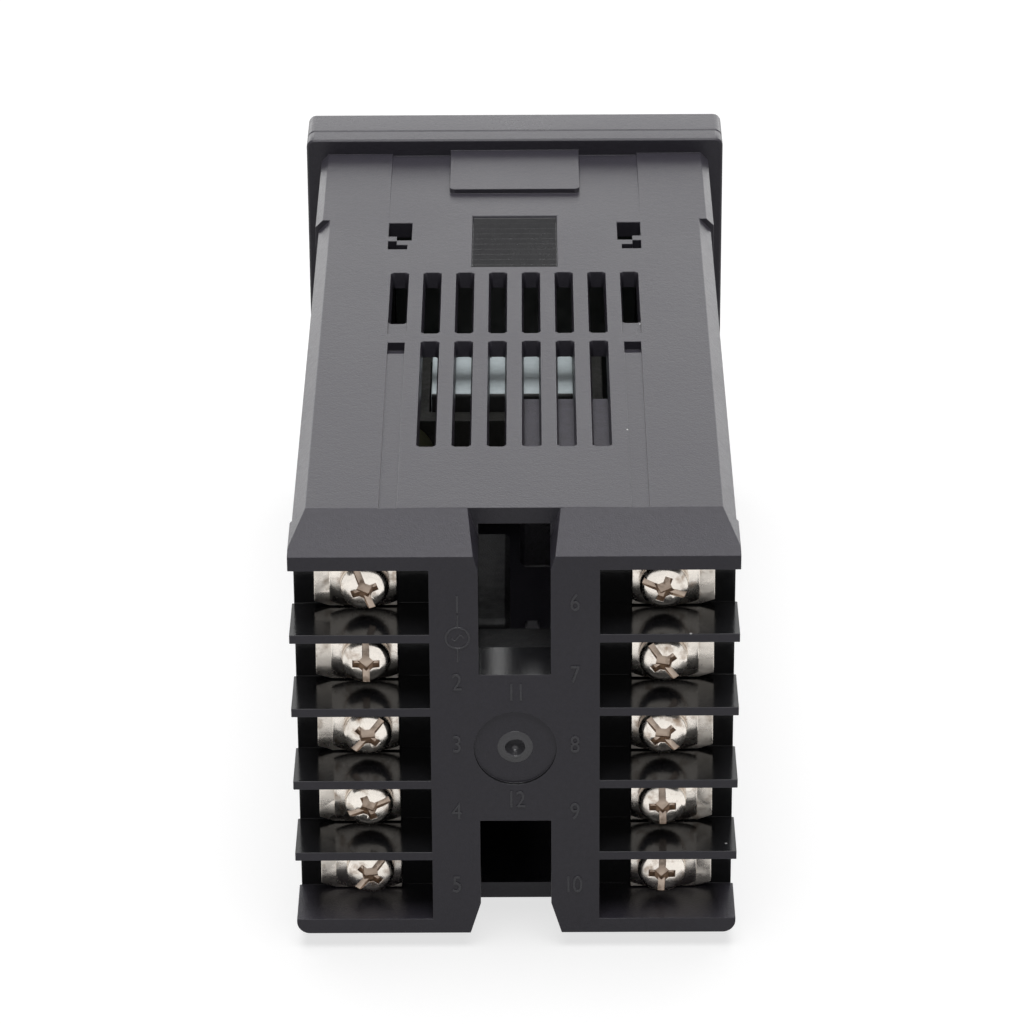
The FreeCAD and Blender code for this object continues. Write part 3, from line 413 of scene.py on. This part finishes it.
def lathe(bm, profile, centre, segments=48):
    """A turned form along +Y; the profile is (radius, height) from one pole to the other."""
    rings = []
    for radius, height in profile:
        if radius == 0:
            rings.append([bm.verts.new(centre + Vector((0, height, 0)))])
            continue
        rings.append([bm.verts.new(centre + polar(radius, height, turn))
                      for turn in turns_round(segments)])
    for inner, outer in zip(rings, rings[1:]):
        for step in range(segments):
            after = (step + 1) % segments
            corners = []
            for ring, spot in ((inner, step), (inner, after), (outer, after), (outer, step)):
                vert = ring[spot % len(ring)]
                if vert not in corners:
                    corners.append(vert)
            bm.faces.new(corners)


def add_box(bm, low, high):
    """A box between two corners, added to a bmesh."""
    made = bmesh.ops.create_cube(bm, size=1.0)["verts"]
    for vert in made:
        vert.co = [low[axis] if vert.co[axis] < 0 else high[axis] for axis in range(3)]
    return made


def thicken(bm, depth):
    """The bmesh's flat faces drawn out along Y."""
    made = bmesh.ops.extrude_face_region(bm, geom=list(bm.faces))["geom"]
    bmesh.ops.translate(bm, verts=[item for item in made if isinstance(item, bmesh.types.BMVert)],
                        vec=(0, depth, 0))


def unshown(bm, name):
    """The bmesh as an object that isn't in the scene yet."""
    bmesh.ops.recalc_face_normals(bm, faces=bm.faces)
    return bpy.data.objects.new(name, stored(bm, bpy.data.meshes.new(name)))


def evaluated(thing):
    """The object's mesh with its modifiers applied; the object is gone after."""
    bpy.context.collection.objects.link(thing)
    bpy.context.view_layer.update()
    graph = bpy.context.evaluated_depsgraph_get()
    result = bpy.data.meshes.new_from_object(thing.evaluated_get(graph))
    bpy.data.objects.remove(thing)
    return result


# ---------------------------------------------------------------- case

CASE_HIGH = box_of("outer_case")[1]
REAR = CASE_HIGH.y
# terminal cells: from their back wall to just inside the rear face
CELL_BACK, CELL_MOUTH = REAR - 7.0 * MM - 0.1 * MM, REAR - 0.05 * MM
CELL_WALL, CELL_DECK = 2.2 * MM, 4.0 * MM
DISH_DEPTH = 0.6 * MM
RACK_HALF, RACK_START, RACK_END, RACK_DEPTH = 4.75 * MM, 18.4 * MM, 33.1 * MM, 2.6 * MM
# floors of the two centre slots: polished near the mouth, and painted with shade in front of the
# line below
SLOT_HALF, SLOT_START, SLOT_HEIGHT, SLOT_SLACK = 4 * MM, 80 * MM, 7.3 * MM, 0.3 * MM
PAINTED_SHADE_END = 94.1 * MM
# the low walls of the guide grooves: where they are, their size and how far they lean
GROOVE_START, GROOVE_REACH, GROOVE_DEPTH = 50 * MM, 16 * MM, 3.2 * MM
GROOVE_WALL, GROOVE_RUN, GROOVE_LEAN = 0.6 * MM, 3 * MM, 0.25 * MM


def in_cells(spot):
    """Whether a spot lies inside the terminal block, within its outer walls."""
    return (CELL_BACK < spot.y < CELL_MOUTH and abs(spot.x) < CASE_HIGH.x - CELL_WALL
            and abs(spot.z) < CASE_HIGH.z - CELL_DECK)


def in_rack(spot):
    """Whether a spot lies in the ratchet rack on the top or on the underside."""
    return (abs(spot.x) < RACK_HALF and RACK_START < spot.y < RACK_END
            and abs(spot.z) > CASE_HIGH.z - RACK_DEPTH)


def on_slot_floor(spot):
    """Whether a spot of a face lies at the height of a centre slot's floor."""
    return spot.y > SLOT_START and abs(abs(spot.z) - SLOT_HEIGHT) < SLOT_SLACK


def is_groove_wall(face, low, high):
    """Whether a face, with its corners, is a low wall of a guide groove on the top."""
    return (abs(face.normal.x) > 0.9 and high.z - low.z < GROOVE_WALL
            and high.y - low.y > GROOVE_RUN and low.z > CASE_HIGH.z - GROOVE_DEPTH
            and abs(face.center.x) < GROOVE_REACH and low.y > GROOVE_START)


def split_slot_floors(mesh):
    """A line across the floors of the two centre slots, where their polished part ends and their
    painted shade begins.
    """
    bm = opened(mesh)
    floors = [face for face in bm.faces
              if abs(face.normal.z) > 0.9 and on_slot_floor(face.calc_center_median())]
    edges = {edge for face in floors for edge in face.edges}
    verts = {vert for face in floors for vert in face.verts}
    bmesh.ops.bisect_plane(bm, geom=[*floors, *edges, *verts], plane_co=(0, PAINTED_SHADE_END, 0),
                           plane_no=(0, 1, 0), dist=CUT)
    stored(bm, mesh)


def outer_case():
    """The moulding, with polished cells, painted shade as darker looks on the rack's teeth, the low
    walls of the guide grooves and the front of the centre slots' floors, and groove walls that lean
    out as a mould's polished ribs leave them."""
    looks = (CASE, CELL, PAINTED_RELIEF_SHADE, PAINTED_INNER_SHADE)
    plain, polished, painted_relief_shade, painted_inner_shade = range(len(looks))
    mesh = dressed("outer_case", CASE, 0.12, weighted=True).data
    for look in looks[1:]:
        mesh.materials.append(look)
    split_slot_floors(mesh)
    leaning = {}
    for face in mesh.polygons:
        spot, normal = face.center, face.normal
        if in_cells(spot):
            dish = spot.y > REAR - DISH_DEPTH and normal.y > 0.9
            face.material_index = plain if dish else polished
        # painted shade on the front of the centre slots' floors
        if abs(spot.x) < SLOT_HALF and on_slot_floor(spot) and spot.y < PAINTED_SHADE_END:
            face.material_index = painted_inner_shade
        # painted shade on the rack's teeth that face up and back
        if in_rack(spot) and abs(normal.z) > 0.3 and normal.y > 0.05:
            face.material_index = painted_relief_shade
        low, high = extent([mesh.vertices[index].co for index in face.vertices])
        # painted shade on the low walls of the guide grooves
        if is_groove_wall(face, low, high):
            face.material_index = painted_relief_shade
            for index in face.vertices:
                if mesh.vertices[index].co.z < (low.z + high.z) / 2:
                    leaning[index] = math.copysign(GROOVE_LEAN, normal.x)
    for index, shift in leaning.items():
        mesh.vertices[index].co.x += shift
    # edges outside the rack are rounded half as much
    for edge, weight in zip(mesh.edges, mesh.attributes["bevel_weight_edge"].data):
        first, second = (mesh.vertices[index].co for index in edge.vertices)
        weight.value *= 1.0 if in_rack((first + second) / 2) else 0.5


# places of the moulded numbers on the rear face, in millimetres
NUMBERS = {1: (5.62, 15.05), 2: (5.71, 6.41), 3: (5.78, -0.56), 4: (5.86, -8.19),
           5: (5.95, -16.63), 6: (-5.94, 15.22), 7: (-5.94, 7.24), 8: (-5.94, -0.62),
           9: (-5.94, -8.25), 10: (-5.74, -16.68), 11: (-0.11, 5.26), 12: (-0.05, -6.85)}
NUMBER_HEIGHT, NUMBER_WIDTH = 1.9 * MM, 0.78
DIGIT_SHARE = 0.71  # of the font's size that its digits are tall
# the alternating-current sign, in millimetres
MAINS_PLACE, MAINS_RADIUS, MAINS_LINE = (5.61, 11.41), 1.15, 0.08


def raised_number(text, x, z):
    """A moulded number on the rear face."""
    data = bpy.data.curves.new(f"number_{text}", "FONT")
    data.body = text
    data.size = NUMBER_HEIGHT / DIGIT_SHARE
    data.align_x = "CENTER"
    data.align_y = "CENTER"
    data.extrude = 0.07 * MM
    data.bevel_depth = 0.03 * MM
    data.offset = -0.025 * MM
    data.space_character = 0.9
    # painted highlight: the number is lighter than the case it is moulded in
    data.materials.append(PAINTED_HIGHLIGHT_MARK)
    mark = shown(f"number_{text}", data)
    turned = Matrix(((-NUMBER_WIDTH, 0, 0), (0, 0, 1), (0, 1, 0))).transposed().to_4x4()
    mark.matrix_world = Matrix.Translation((x * MM, REAR, z * MM)) @ turned
    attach(mark, "case")


def wire(name, points, radius, closed=False):
    """A thin raised line on the rear face through points (x, z) in millimetres."""
    data = bpy.data.curves.new(name, "CURVE")
    data.dimensions = "3D"
    data.bevel_depth = radius * MM
    data.bevel_resolution = 2
    line = data.splines.new("POLY")
    line.points.add(len(points) - 1)
    for point, (x, z) in zip(line.points, points):
        point.co = (x * MM, REAR, z * MM, 1)
    line.use_cyclic_u = closed
    # painted highlight: the line is lighter than the case it is moulded in
    data.materials.append(PAINTED_HIGHLIGHT_MARK)
    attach(shown(name, data), "case")


def mains_mark():
    """The alternating-current sign between terminals 1 and 2: a wave in a circle on a line."""
    (x, z), radius, steps = MAINS_PLACE, MAINS_RADIUS, 16
    circle = [(x + radius * math.cos(turn), z + radius * math.sin(turn))
              for turn in turns_round(40)]
    wire("mains_circle", circle, 0.1, closed=True)
    shares = [step / steps - 0.5 for step in range(steps + 1)]
    wave = [(x + 1.2 * share, z - 0.3 * math.sin(2 * math.pi * share)) for share in shares]
    wire("mains_wave", wave, MAINS_LINE)
    wire("mains_line_above", [(x, z + radius), (x, z + radius + 1.4)], MAINS_LINE)
    wire("mains_line_below", [(x, z - radius), (x, z - radius - 1.5)], MAINS_LINE)


def rear_marks():
    for number, (x, z) in NUMBERS.items():
        raised_number(str(number), x, z)
    mains_mark()


# the gate's crater from its foot inwards: radius, height and how ragged, in millimetres
CRATER = ((1.84, -0.02, 0.1), (1.7, 0.03, 0.15), (1.45, 0.02, 0.3), (1.26, 0.1, 0.6),
          (1.1, 0.24, 1.0), (0.98, 0.2, 1.0), (0.9, 0.0, 0.9), (0.86, -0.6, 0.6),
          (0.8, -0.95, 0.3))
CRATER_STEPS = 72
DISH_CENTRE = Vector((0, REAR - 0.35 * MM, -1.0 * MM))


def gate_scar():
    """Torn plastic round the injection gate: a low crater whose mouth is ragged."""
    chance = random.Random(7)
    waves = [(count, chance.uniform(0, 6.28), 0.09 / count) for count in (2, 3, 5, 8, 13)]
    bm = bmesh.new()
    rings = []
    for radius, height, ragged in CRATER:
        ring = []
        for turn in turns_round(CRATER_STEPS):
            rough = sum(size * math.sin(count * turn + start) for count, start, size in waves)
            rough += chance.uniform(-0.02, 0.02)
            reach = (radius + ragged * rough) * MM
            lift = (height * (1 + 1.6 * rough) if height > 0 else height) * MM
            ring.append(bm.verts.new(DISH_CENTRE + polar(reach, lift, turn)))
        rings.append(ring)
    for outer, inner in zip(rings, rings[1:]):
        for step in range(CRATER_STEPS):
            after = (step + 1) % CRATER_STEPS
            bm.faces.new((outer[step], inner[step], inner[after], outer[after]))
    bm.faces.new(list(reversed(rings[0])))
    bm.faces.new(rings[-1])
    bmesh.ops.recalc_face_normals(bm, faces=bm.faces)
    add_piece("gate_scar", bm, GATE, "case")


# ---------------------------------------------------------------- terminals

# how each screw's slot was left, in degrees, in the order of solids_of
SLOT_ANGLES = (110, 90, 50, 22, 52, 160, 125, 130, 92, 88)
HEAD_HEIGHT, HEAD_RADIUS, SHANK_RADIUS = 2.2 * MM, 2.45 * MM, 1.5 * MM
DOME_HEIGHT = 0.88 * HEAD_HEIGHT
# a head from its pole to its seat, as shares of its radius and height
DOME = ((0.0, 1.0), (0.35, 0.985), (0.62, 0.94), (0.8, 0.87), (0.91, 0.77), (0.97, 0.64),
        (1.0, 0.45), (1.0, 0.1), (0.97, 0.0))
# its cuts: length and width as shares of the radius, depth as a share of the height, turn in
# degrees and how much the cut's length tapers
CUTS = (("slot", 1.9, 0.34, 0.3, 0, 0.96), ("cross", 1.25, 0.36, 0.5, 90, 0.8),
        ("well", 0.7, 0.7, 0.62, 45, 0.8))
CUT_TAPER = 0.8
RECESS_START = 0.14 * MM  # below the dome, where a cut's wall gets the duller look


def dome_surface(dome, reach):
    """The height of the dome at a distance from its pole; beyond its brim, the last slope goes
    on."""
    brim = dome[-3]
    for low, high in zip(dome, dome[1:]):
        if reach <= high[0] or high is brim:
            return low[1] + (high[1] - low[1]) * (reach - low[0]) / (high[0] - low[0])


def screw_mesh(radius, height, shank, length, angle):
    """A pan head screw along +Y from its seat, with a slot across and a deeper cross-cut."""
    bm = bmesh.new()
    dome = [(out * radius, up * height) for out, up in DOME]
    lathe(bm, dome + [(shank, 0.0), (shank, -length + 0.3 * MM), (0.75 * shank, -length),
                      (0.0, -length)], Vector(), 64)
    screw = unshown(bm, "screw")
    cutters = []
    for name, long, wide, deep, turn, taper in CUTS:
        long, wide, deep = long * radius, wide * radius, deep * height
        bm = bmesh.new()
        add_box(bm, (-long / 2, height - deep, -wide / 2), (long / 2, height + 1 * MM, wide / 2))
        for vert in bm.verts:
            if vert.co.y < height:
                vert.co.x *= taper
                vert.co.z *= CUT_TAPER
        bmesh.ops.rotate(bm, verts=bm.verts,
                         matrix=Matrix.Rotation(math.radians(angle + turn), 3, "Y"))
        cutter = unshown(bm, f"screw_{name}")
        bpy.context.collection.objects.link(cutter)
        cutters.append(cutter)
        cut = screw.modifiers.new(name, "BOOLEAN")
        cut.operation = "DIFFERENCE"
        cut.solver = "EXACT"
        cut.object = cutter
    soften_sharp(screw, 0.07, 35)
    mesh = evaluated(screw)
    for cutter in cutters:
        bpy.data.objects.remove(cutter)
    for face in mesh.polygons:
        spot = face.center
        surface = dome_surface(dome, math.hypot(spot.x, spot.z))
        face.material_index = 1 if 0.2 * height < spot.y < surface - RECESS_START else 0
    return mesh


def terminal_screws():
    bm = bmesh.new()
    for angle, (low, high) in zip(SLOT_ANGLES, solids_of("terminal_screws")):
        seat = Vector(((low.x + high.x) / 2, high.y - HEAD_HEIGHT, (low.z + high.z) / 2))
        before = len(bm.verts)
        bm.from_mesh(screw_mesh(HEAD_RADIUS, DOME_HEIGHT, SHANK_RADIUS, seat.y - low.y, angle))
        bm.verts.ensure_lookup_table()
        bmesh.ops.translate(bm, verts=bm.verts[before:], vec=seat)
    screws = add_piece("terminal_screws_look", bm, NICKEL, "case")
    screws.data.materials.append(RECESS)
    stands_for(screws, "terminal_screws")


# the steps of a washer's grid, and its bends as shares of its half sides and thickness
WASHER_ACROSS, WASHER_DOWN = 20, 16
CURL, CURL_START, CURL_RUN, MOST_BEND = 0.72, 0.15, 0.85, 0.8
SIDE_FOLD, SIDE_START = 1.6, 0.72
CORNER_CUT = 0.2


def washer_place(low, high, u, v, front):
    """A place on the front or back of the washer in a box; u and v run from -1 to 1."""
    centre, half = (low + high) / 2, (high - low) / 2
    outward = 1 if low.x > 0 else -1
    z = v * half.z * (1 - CORNER_CUT * abs(u) ** 3 if v < 0 else 1)
    curl = CURL * (max(0, -v - CURL_START) / CURL_RUN) ** 1.8
    bend = curl + SIDE_FOLD * max(0, outward * u - SIDE_START) ** 2
    y = high.y - (high.y - low.y) * min(MOST_BEND, bend) if front else low.y + 0.05 * MM
    return centre.x + u * half.x, y, centre.z + z


def clamp_washers():
    """Sprung clamp plates: flat round the screw, the lower edge curved and bent back, the outer
    side folded."""
    across = [2 * column / WASHER_ACROSS - 1 for column in range(WASHER_ACROSS + 1)]
    down = [1 - 2 * row / WASHER_DOWN for row in range(WASHER_DOWN + 1)]
    bm = bmesh.new()
    for low, high in solids_of("clamp_washers"):
        front, back = ([[bm.verts.new(washer_place(low, high, u, v, is_front)) for u in across]
                        for v in down] for is_front in (True, False))
        join_sheets(bm, front, back)
    washers = add_piece("clamp_washers_look", bm, NICKEL, "case")
    soften_sharp(washers, 0.08, 40)
    stands_for(washers, "clamp_washers")


def rim(grid):
    """The vertices round a grid."""
    return (grid[0] + [line[-1] for line in grid[1:]] + grid[-1][-2::-1]
            + [line[0] for line in grid[-2:0:-1]])


def join_sheets(bm, front, back):
    """A closed body between two grids of vertices."""
    for grid, flip in ((front, False), (back, True)):
        for upper, lower in zip(grid, grid[1:]):
            for step in range(len(upper) - 1):
                corners = [upper[step], upper[step + 1], lower[step + 1], lower[step]]
                bm.faces.new(list(reversed(corners)) if flip else corners)
    near, far = rim(front), rim(back)
    for step in range(len(near)):
        after = (step + 1) % len(near)
        bm.faces.new((near[after], near[step], far[step], far[after]))
    bmesh.ops.recalc_face_normals(bm, faces=bm.faces)


# a contact's fold and the end of its leaning part above its foot, and the lean in degrees
FOLD_RISE, LEAN_RISE, CONTACT_LEAN = 1.5 * MM, 4.2 * MM, 7


def creased_contact(node):
    """A contact whose rear face is folded above its foot and leans in from there."""
    piece = clean_copy(node, f"{node}_look")
    low, high = box_of(node)
    fold, top = low.z + FOLD_RISE, low.z + LEAN_RISE
    lean = math.tan(math.radians(CONTACT_LEAN))
    bm = opened(piece.data)
    for height in (fold, top):
        bmesh.ops.bisect_plane(bm, geom=bm.verts[:] + bm.edges[:] + bm.faces[:],
                               plane_co=(0, 0, height), plane_no=(0, 0, 1), dist=CUT)
    for vert in bm.verts:
        if vert.co.y > high.y - 0.05 * MM:
            vert.co.y -= lean * max(0, min(vert.co.z, top) - fold)
    stored(bm, piece.data)
    soften(piece, 0.08)
    piece.data.materials.append(CONTACT)
    stands_for(piece, node)
    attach(piece, BODY_OF[node])


def terminals():
    terminal_screws()
    clamp_washers()
    for rank in range(1, 11):
        creased_contact(f"terminal_contact_{rank}")


# ---------------------------------------------------------------- inner unit


def seven_segments(bm, centre_x, centre_z, tall, face_y):
    """The seven bars and the dot of one digit, drawn on a face that looks along -Y."""
    wide, bar, lean = 0.5 * tall, 0.12 * tall, 0.12
    half, up = wide / 2, tall / 2

    def slab(points):
        bm.faces.new([bm.verts.new((centre_x + x + lean * z, face_y, centre_z + z))
                      for x, z in points])

    def bar_across(z):
        slab([(-half + bar * 0.6, z), (-half + bar * 1.1, z + bar / 2),
              (half - bar * 1.1, z + bar / 2), (half - bar * 0.6, z),
              (half - bar * 1.1, z - bar / 2), (-half + bar * 1.1, z - bar / 2)])

    def bar_up(x, low, high):
        slab([(x, low), (x + bar / 2, low + bar / 2), (x + bar / 2, high - bar / 2), (x, high),
              (x - bar / 2, high - bar / 2), (x - bar / 2, low + bar / 2)])

    for z in (up - bar / 2, 0, bar / 2 - up):
        bar_across(z)
    for x in (-half, half):
        bar_up(x, 0.03 * tall, up - 0.03 * tall)
        bar_up(x, 0.03 * tall - up, -0.03 * tall)
    spot = half + 1.3 * bar
    slab([(spot, -up), (spot + bar, -up), (spot + bar, bar - up), (spot, bar - up)])


def digit_modules():
    """The two rows of digits, each on its own module."""
    digits, stand_out, thick = 4, 0.02 * MM, 0.03 * MM
    for node in ("pv_display", "sv_display"):
        dressed(node, DIGIT_FACE, 0.15)
        low, high = box_of(node)
        bm = bmesh.new()
        pitch = (high.x - low.x) / digits
        for step in range(digits):
            seven_segments(bm, low.x + (step + 0.46) * pitch, (low.z + high.z) / 2,
                           0.74 * (high.z - low.z), low.y - stand_out)
        thicken(bm, thick)
        bmesh.ops.recalc_face_normals(bm, faces=bm.faces)
        add_piece(f"{node}_segments", bm, SEGMENT, "chassis", smooth=False)


RING_RADII, RING_STEPS = (1.1 * MM, 0.75 * MM), 36
ARROW_REACH = 1.25 * MM


def ring_sign(bm):
    """A flat ring."""
    outer, inner = ([bm.verts.new(polar(radius, 0, turn)) for turn in turns_round(RING_STEPS)]
                    for radius in RING_RADII)
    for step in range(RING_STEPS):
        after = (step + 1) % RING_STEPS
        bm.faces.new((outer[step], outer[after], inner[after], inner[step]))


def arrow_sign(bm, turn):
    """A flat triangle that points up, turned by an angle in degrees."""
    angles = (math.radians(corner + turn) for corner in (0, 120, 240))
    bm.faces.new([bm.verts.new((ARROW_REACH * math.sin(angle), 0, ARROW_REACH * math.cos(angle)))
                  for angle in angles])


def keys():
    """The four keys, with plain arrows on three and a ring on the fourth as raised prints."""
    for node, turn in (("key_shift", 90), ("key_down", 180), ("key_up", 0), ("key_set", None)):
        dressed(node, KEY, 0.35, 3)
        low, high = box_of(node)
        centre = Vector(((low.x + high.x) / 2, low.y, (low.z + high.z) / 2))
        bm = bmesh.new()
        if turn is None:
            ring_sign(bm)
        else:
            arrow_sign(bm, turn)
        thicken(bm, -0.04 * MM)
        bmesh.ops.translate(bm, verts=bm.verts, vec=centre + Vector((0, 0.01 * MM, 0)))
        bmesh.ops.recalc_face_normals(bm, faces=bm.faces)
        add_piece(f"{node}_symbol", bm, SYMBOL, BODY_OF[node], smooth=False)


def capacitor_can(node):
    """An electrolytic can: sleeve, rolled groove near its top and sunk ends."""
    low, high = box_of(node)
    radius, length = (high.x - low.x) / 2, high.y - low.y
    centre = Vector(((low.x + high.x) / 2, low.y, (low.z + high.z) / 2))
    edge, inside, waist = 0.12 * radius, 0.82 * radius, 0.93 * radius
    foot, top = 0.15 * MM, length - 0.2 * MM
    bm = bmesh.new()
    lathe(bm, [(0.0, foot), (inside, foot), (inside, 0.0), (radius - edge, 0.0),
               (radius - 0.3 * edge, 0.3 * edge), (radius, edge), (radius, 0.72 * length),
               (waist, 0.77 * length), (waist, 0.8 * length), (radius, 0.85 * length),
               (radius, length - edge), (radius - edge, length), (inside, length),
               (inside, top), (0.0, top)], centre)
    bmesh.ops.recalc_face_normals(bm, faces=bm.faces)
    stands_for(add_piece(f"{node}_look", bm, SLEEVE, "chassis"), node)


LEADS, LEAD_PITCH, LEAD_HALF = 11, 0.8 * MM, 0.16 * MM
LEAD_HEIGHT, LEAD_LENGTH, CHIP_DRAFT = 0.5 * MM, 1.0 * MM, 0.15 * MM


def chip():
    """The microcontroller: a flat moulded body with leads on four sides."""
    low, high = box_of("microcontroller")
    centre, half = (low + high) / 2, (high - low) / 2
    bm = bmesh.new()
    for vert in add_box(bm, (low.x, low.y + LEAD_LENGTH, low.z + LEAD_LENGTH),
                        (high.x, high.y - LEAD_LENGTH, high.z - LEAD_LENGTH)):
        if vert.co.x > centre.x:
            vert.co.y += CHIP_DRAFT * (1 if vert.co.y < centre.y else -1)
            vert.co.z += CHIP_DRAFT * (1 if vert.co.z < centre.z else -1)
    body = add_piece("microcontroller_look", bm, BLACK, "chassis", smooth=False)
    stands_for(body, "microcontroller")
    bm = bmesh.new()
    foot, top = low.x, low.x + LEAD_HEIGHT
    for step in range(LEADS):
        offset = (step - (LEADS - 1) / 2) * LEAD_PITCH
        for end in (1, -1):
            ends_y = sorted((centre.y + end * (half.y - LEAD_LENGTH), centre.y + end * half.y))
            ends_z = sorted((centre.z + end * (half.z - LEAD_LENGTH), centre.z + end * half.z))
            add_box(bm, (foot, ends_y[0], centre.z + offset - LEAD_HALF),
                    (top, ends_y[1], centre.z + offset + LEAD_HALF))
            add_box(bm, (foot, centre.y + offset - LEAD_HALF, ends_z[0]),
                    (top, centre.y + offset + LEAD_HALF, ends_z[1]))
    add_piece("microcontroller_leads", bm, CONTACT, "chassis", smooth=False)


def inner_unit():
    dressed("front_bezel", BEZEL, 0.3, 3, weighted=True)
    dressed("display_window", WINDOW, 0.1, weighted=True)
    digit_modules()
    keys()
    for rank in range(1, 5):
        dressed(f"indicator_lamp_{rank}", SEGMENT, 0.2)
    for name in ("set", "shift", "down", "up"):
        dressed(f"switch_{name}", BLACK, 0.12)
        dressed(f"plunger_{name}", BLACK, 0.12)
    for node, look in (("display_board", BOARD), ("left_board", BOARD), ("right_board", BOARD),
                       ("left_header", BLACK), ("right_header", BLACK),
                       ("transformer_core", FERRITE), ("control_relay", RELAY)):
        dressed(node, look, 0.12)
    # painted shade on the alarm relay, as a darker copy of the relay look
    dressed("alarm_relay", PAINTED_INNER_SHADE)
    # the winding's faces that look along Y are black
    winding = dressed("transformer_winding", TAPE, 0.15).data
    winding.materials.append(BLACK)
    for face in winding.polygons:
        if abs(face.normal.y) > 0.7:
            face.material_index = 1
    capacitor_can("filter_capacitor")
    capacitor_can("output_capacitor")
    chip()


# ---------------------------------------------------------------- ground, light and camera

WORLD_LIGHT = 0.07
FLOOR_TONE, FLOOR_GLOW, FLOOR_REACH = 0.35, 0.72, 3.0
AIM = (0, 0.05, 0)
# each lamp's place and size in metres, and its power in watts
LAMPS = (("overhead", (0, 0.1, 1.0), (0.7, 1.1), 11.5),
         ("back_panel", (0, -1.1, 0.3), (1.7, 0.8), 3.8),
         ("back_left", (0.6, -0.95, 0.05), (0.35, 0.5), 0.8),
         ("back_right", (-0.6, -0.95, 0.05), (0.35, 0.5), 0.9))
# the camera fitted to the photograph: place in millimetres, line of sight, roll in degrees
CAMERA_PLACE = Vector((-1.509, 532.53, 237.05)) * MM
CAMERA_SIGHT = Vector((0.003498, -0.898042, -0.439895))
CAMERA_ROLL = 0.3517
SENSOR, FOCAL_PIXELS, PICTURE_PIXELS = 36.0, 4962.6, 1024


def white_world():
    """White where the camera, a reflection or a clear part sees it, and dimmer as light."""
    world = bpy.data.worlds.new("studio")
    bpy.context.scene.world = world
    world.use_nodes = True
    nodes, links = world.node_tree.nodes, world.node_tree.links
    path = nodes.new("ShaderNodeLightPath")
    background = nodes["Background"]
    seen = path.outputs["Is Camera Ray"]
    for name in ("Is Glossy Ray", "Is Transmission Ray"):
        either = nodes.new("ShaderNodeMath")
        either.operation = "MAXIMUM"
        links.new(seen, either.inputs[0])
        links.new(path.outputs[name], either.inputs[1])
        seen = either.outputs[0]
    level = nodes.new("ShaderNodeMapRange")
    level.inputs["To Min"].default_value = WORLD_LIGHT
    level.inputs["To Max"].default_value = 1.0
    links.new(seen, level.inputs["Value"])
    background.inputs["Color"].default_value = (1, 1, 1, 1)
    links.new(level.outputs["Result"], background.inputs["Strength"])


def white_floor():
    """A pale matt floor that keeps the shadow and reads as white to the camera."""
    reach, height = FLOOR_REACH, CAD_BOX[0][2]
    mesh = bpy.data.meshes.new("floor")
    mesh.from_pydata([(-reach, -reach, height), (reach, -reach, height), (reach, reach, height),
                      (-reach, reach, height)], [], [(0, 1, 2, 3)])
    floor = shown("floor", mesh)
    s = Shader("floor_look")
    path = s.add("LightPath").outputs
    mirrored = s.maths("MAXIMUM", path["Is Glossy Ray"], path["Is Transmission Ray"])
    seen = s.maths("MAXIMUM", path["Is Camera Ray"], mirrored)
    mesh.materials.append(s.finish(
        Base_Color=(FLOOR_TONE, FLOOR_TONE, FLOOR_TONE, 1), Roughness=1.0,
        Specular_IOR_Level=0.0, Emission_Color=(1, 1, 1, 1),
        Emission_Strength=s.maths("MULTIPLY", seen, FLOOR_GLOW)))


def lamp(name, place, size, power):
    """A soft rectangular light, aimed at the case."""
    data = bpy.data.lights.new(name, "AREA")
    data.shape = "RECTANGLE"
    data.size, data.size_y = size
    data.energy = power
    light = shown(name, data)
    light.location = place
    light.rotation_euler = (Vector(AIM) - Vector(place)).to_track_quat("-Z", "Y").to_euler()


def photo_camera():
    """A long lens behind and above the terminals."""
    camera = shown("camera", bpy.data.cameras.new("camera"))
    side = CAMERA_SIGHT.cross(Vector((0, 0, 1))).normalized()
    up = side.cross(CAMERA_SIGHT)
    roll = Matrix.Rotation(math.radians(CAMERA_ROLL), 3, CAMERA_SIGHT)
    turned = Matrix((roll @ side, roll @ up, -CAMERA_SIGHT)).transposed().to_4x4()
    camera.matrix_world = Matrix.Translation(CAMERA_PLACE) @ turned
    camera.data.sensor_width = SENSOR
    camera.data.lens = SENSOR * FOCAL_PIXELS / PICTURE_PIXELS
    camera.data.clip_start = 0.01
    bpy.context.scene.camera = camera


# ---------------------------------------------------------------- the scene

outer_case()
rear_marks()
gate_scar()
terminals()
inner_unit()
white_world()
white_floor()
for setting in LAMPS:
    lamp(*setting)
photo_camera()
bpy.context.scene.view_settings.view_transform = "Standard"
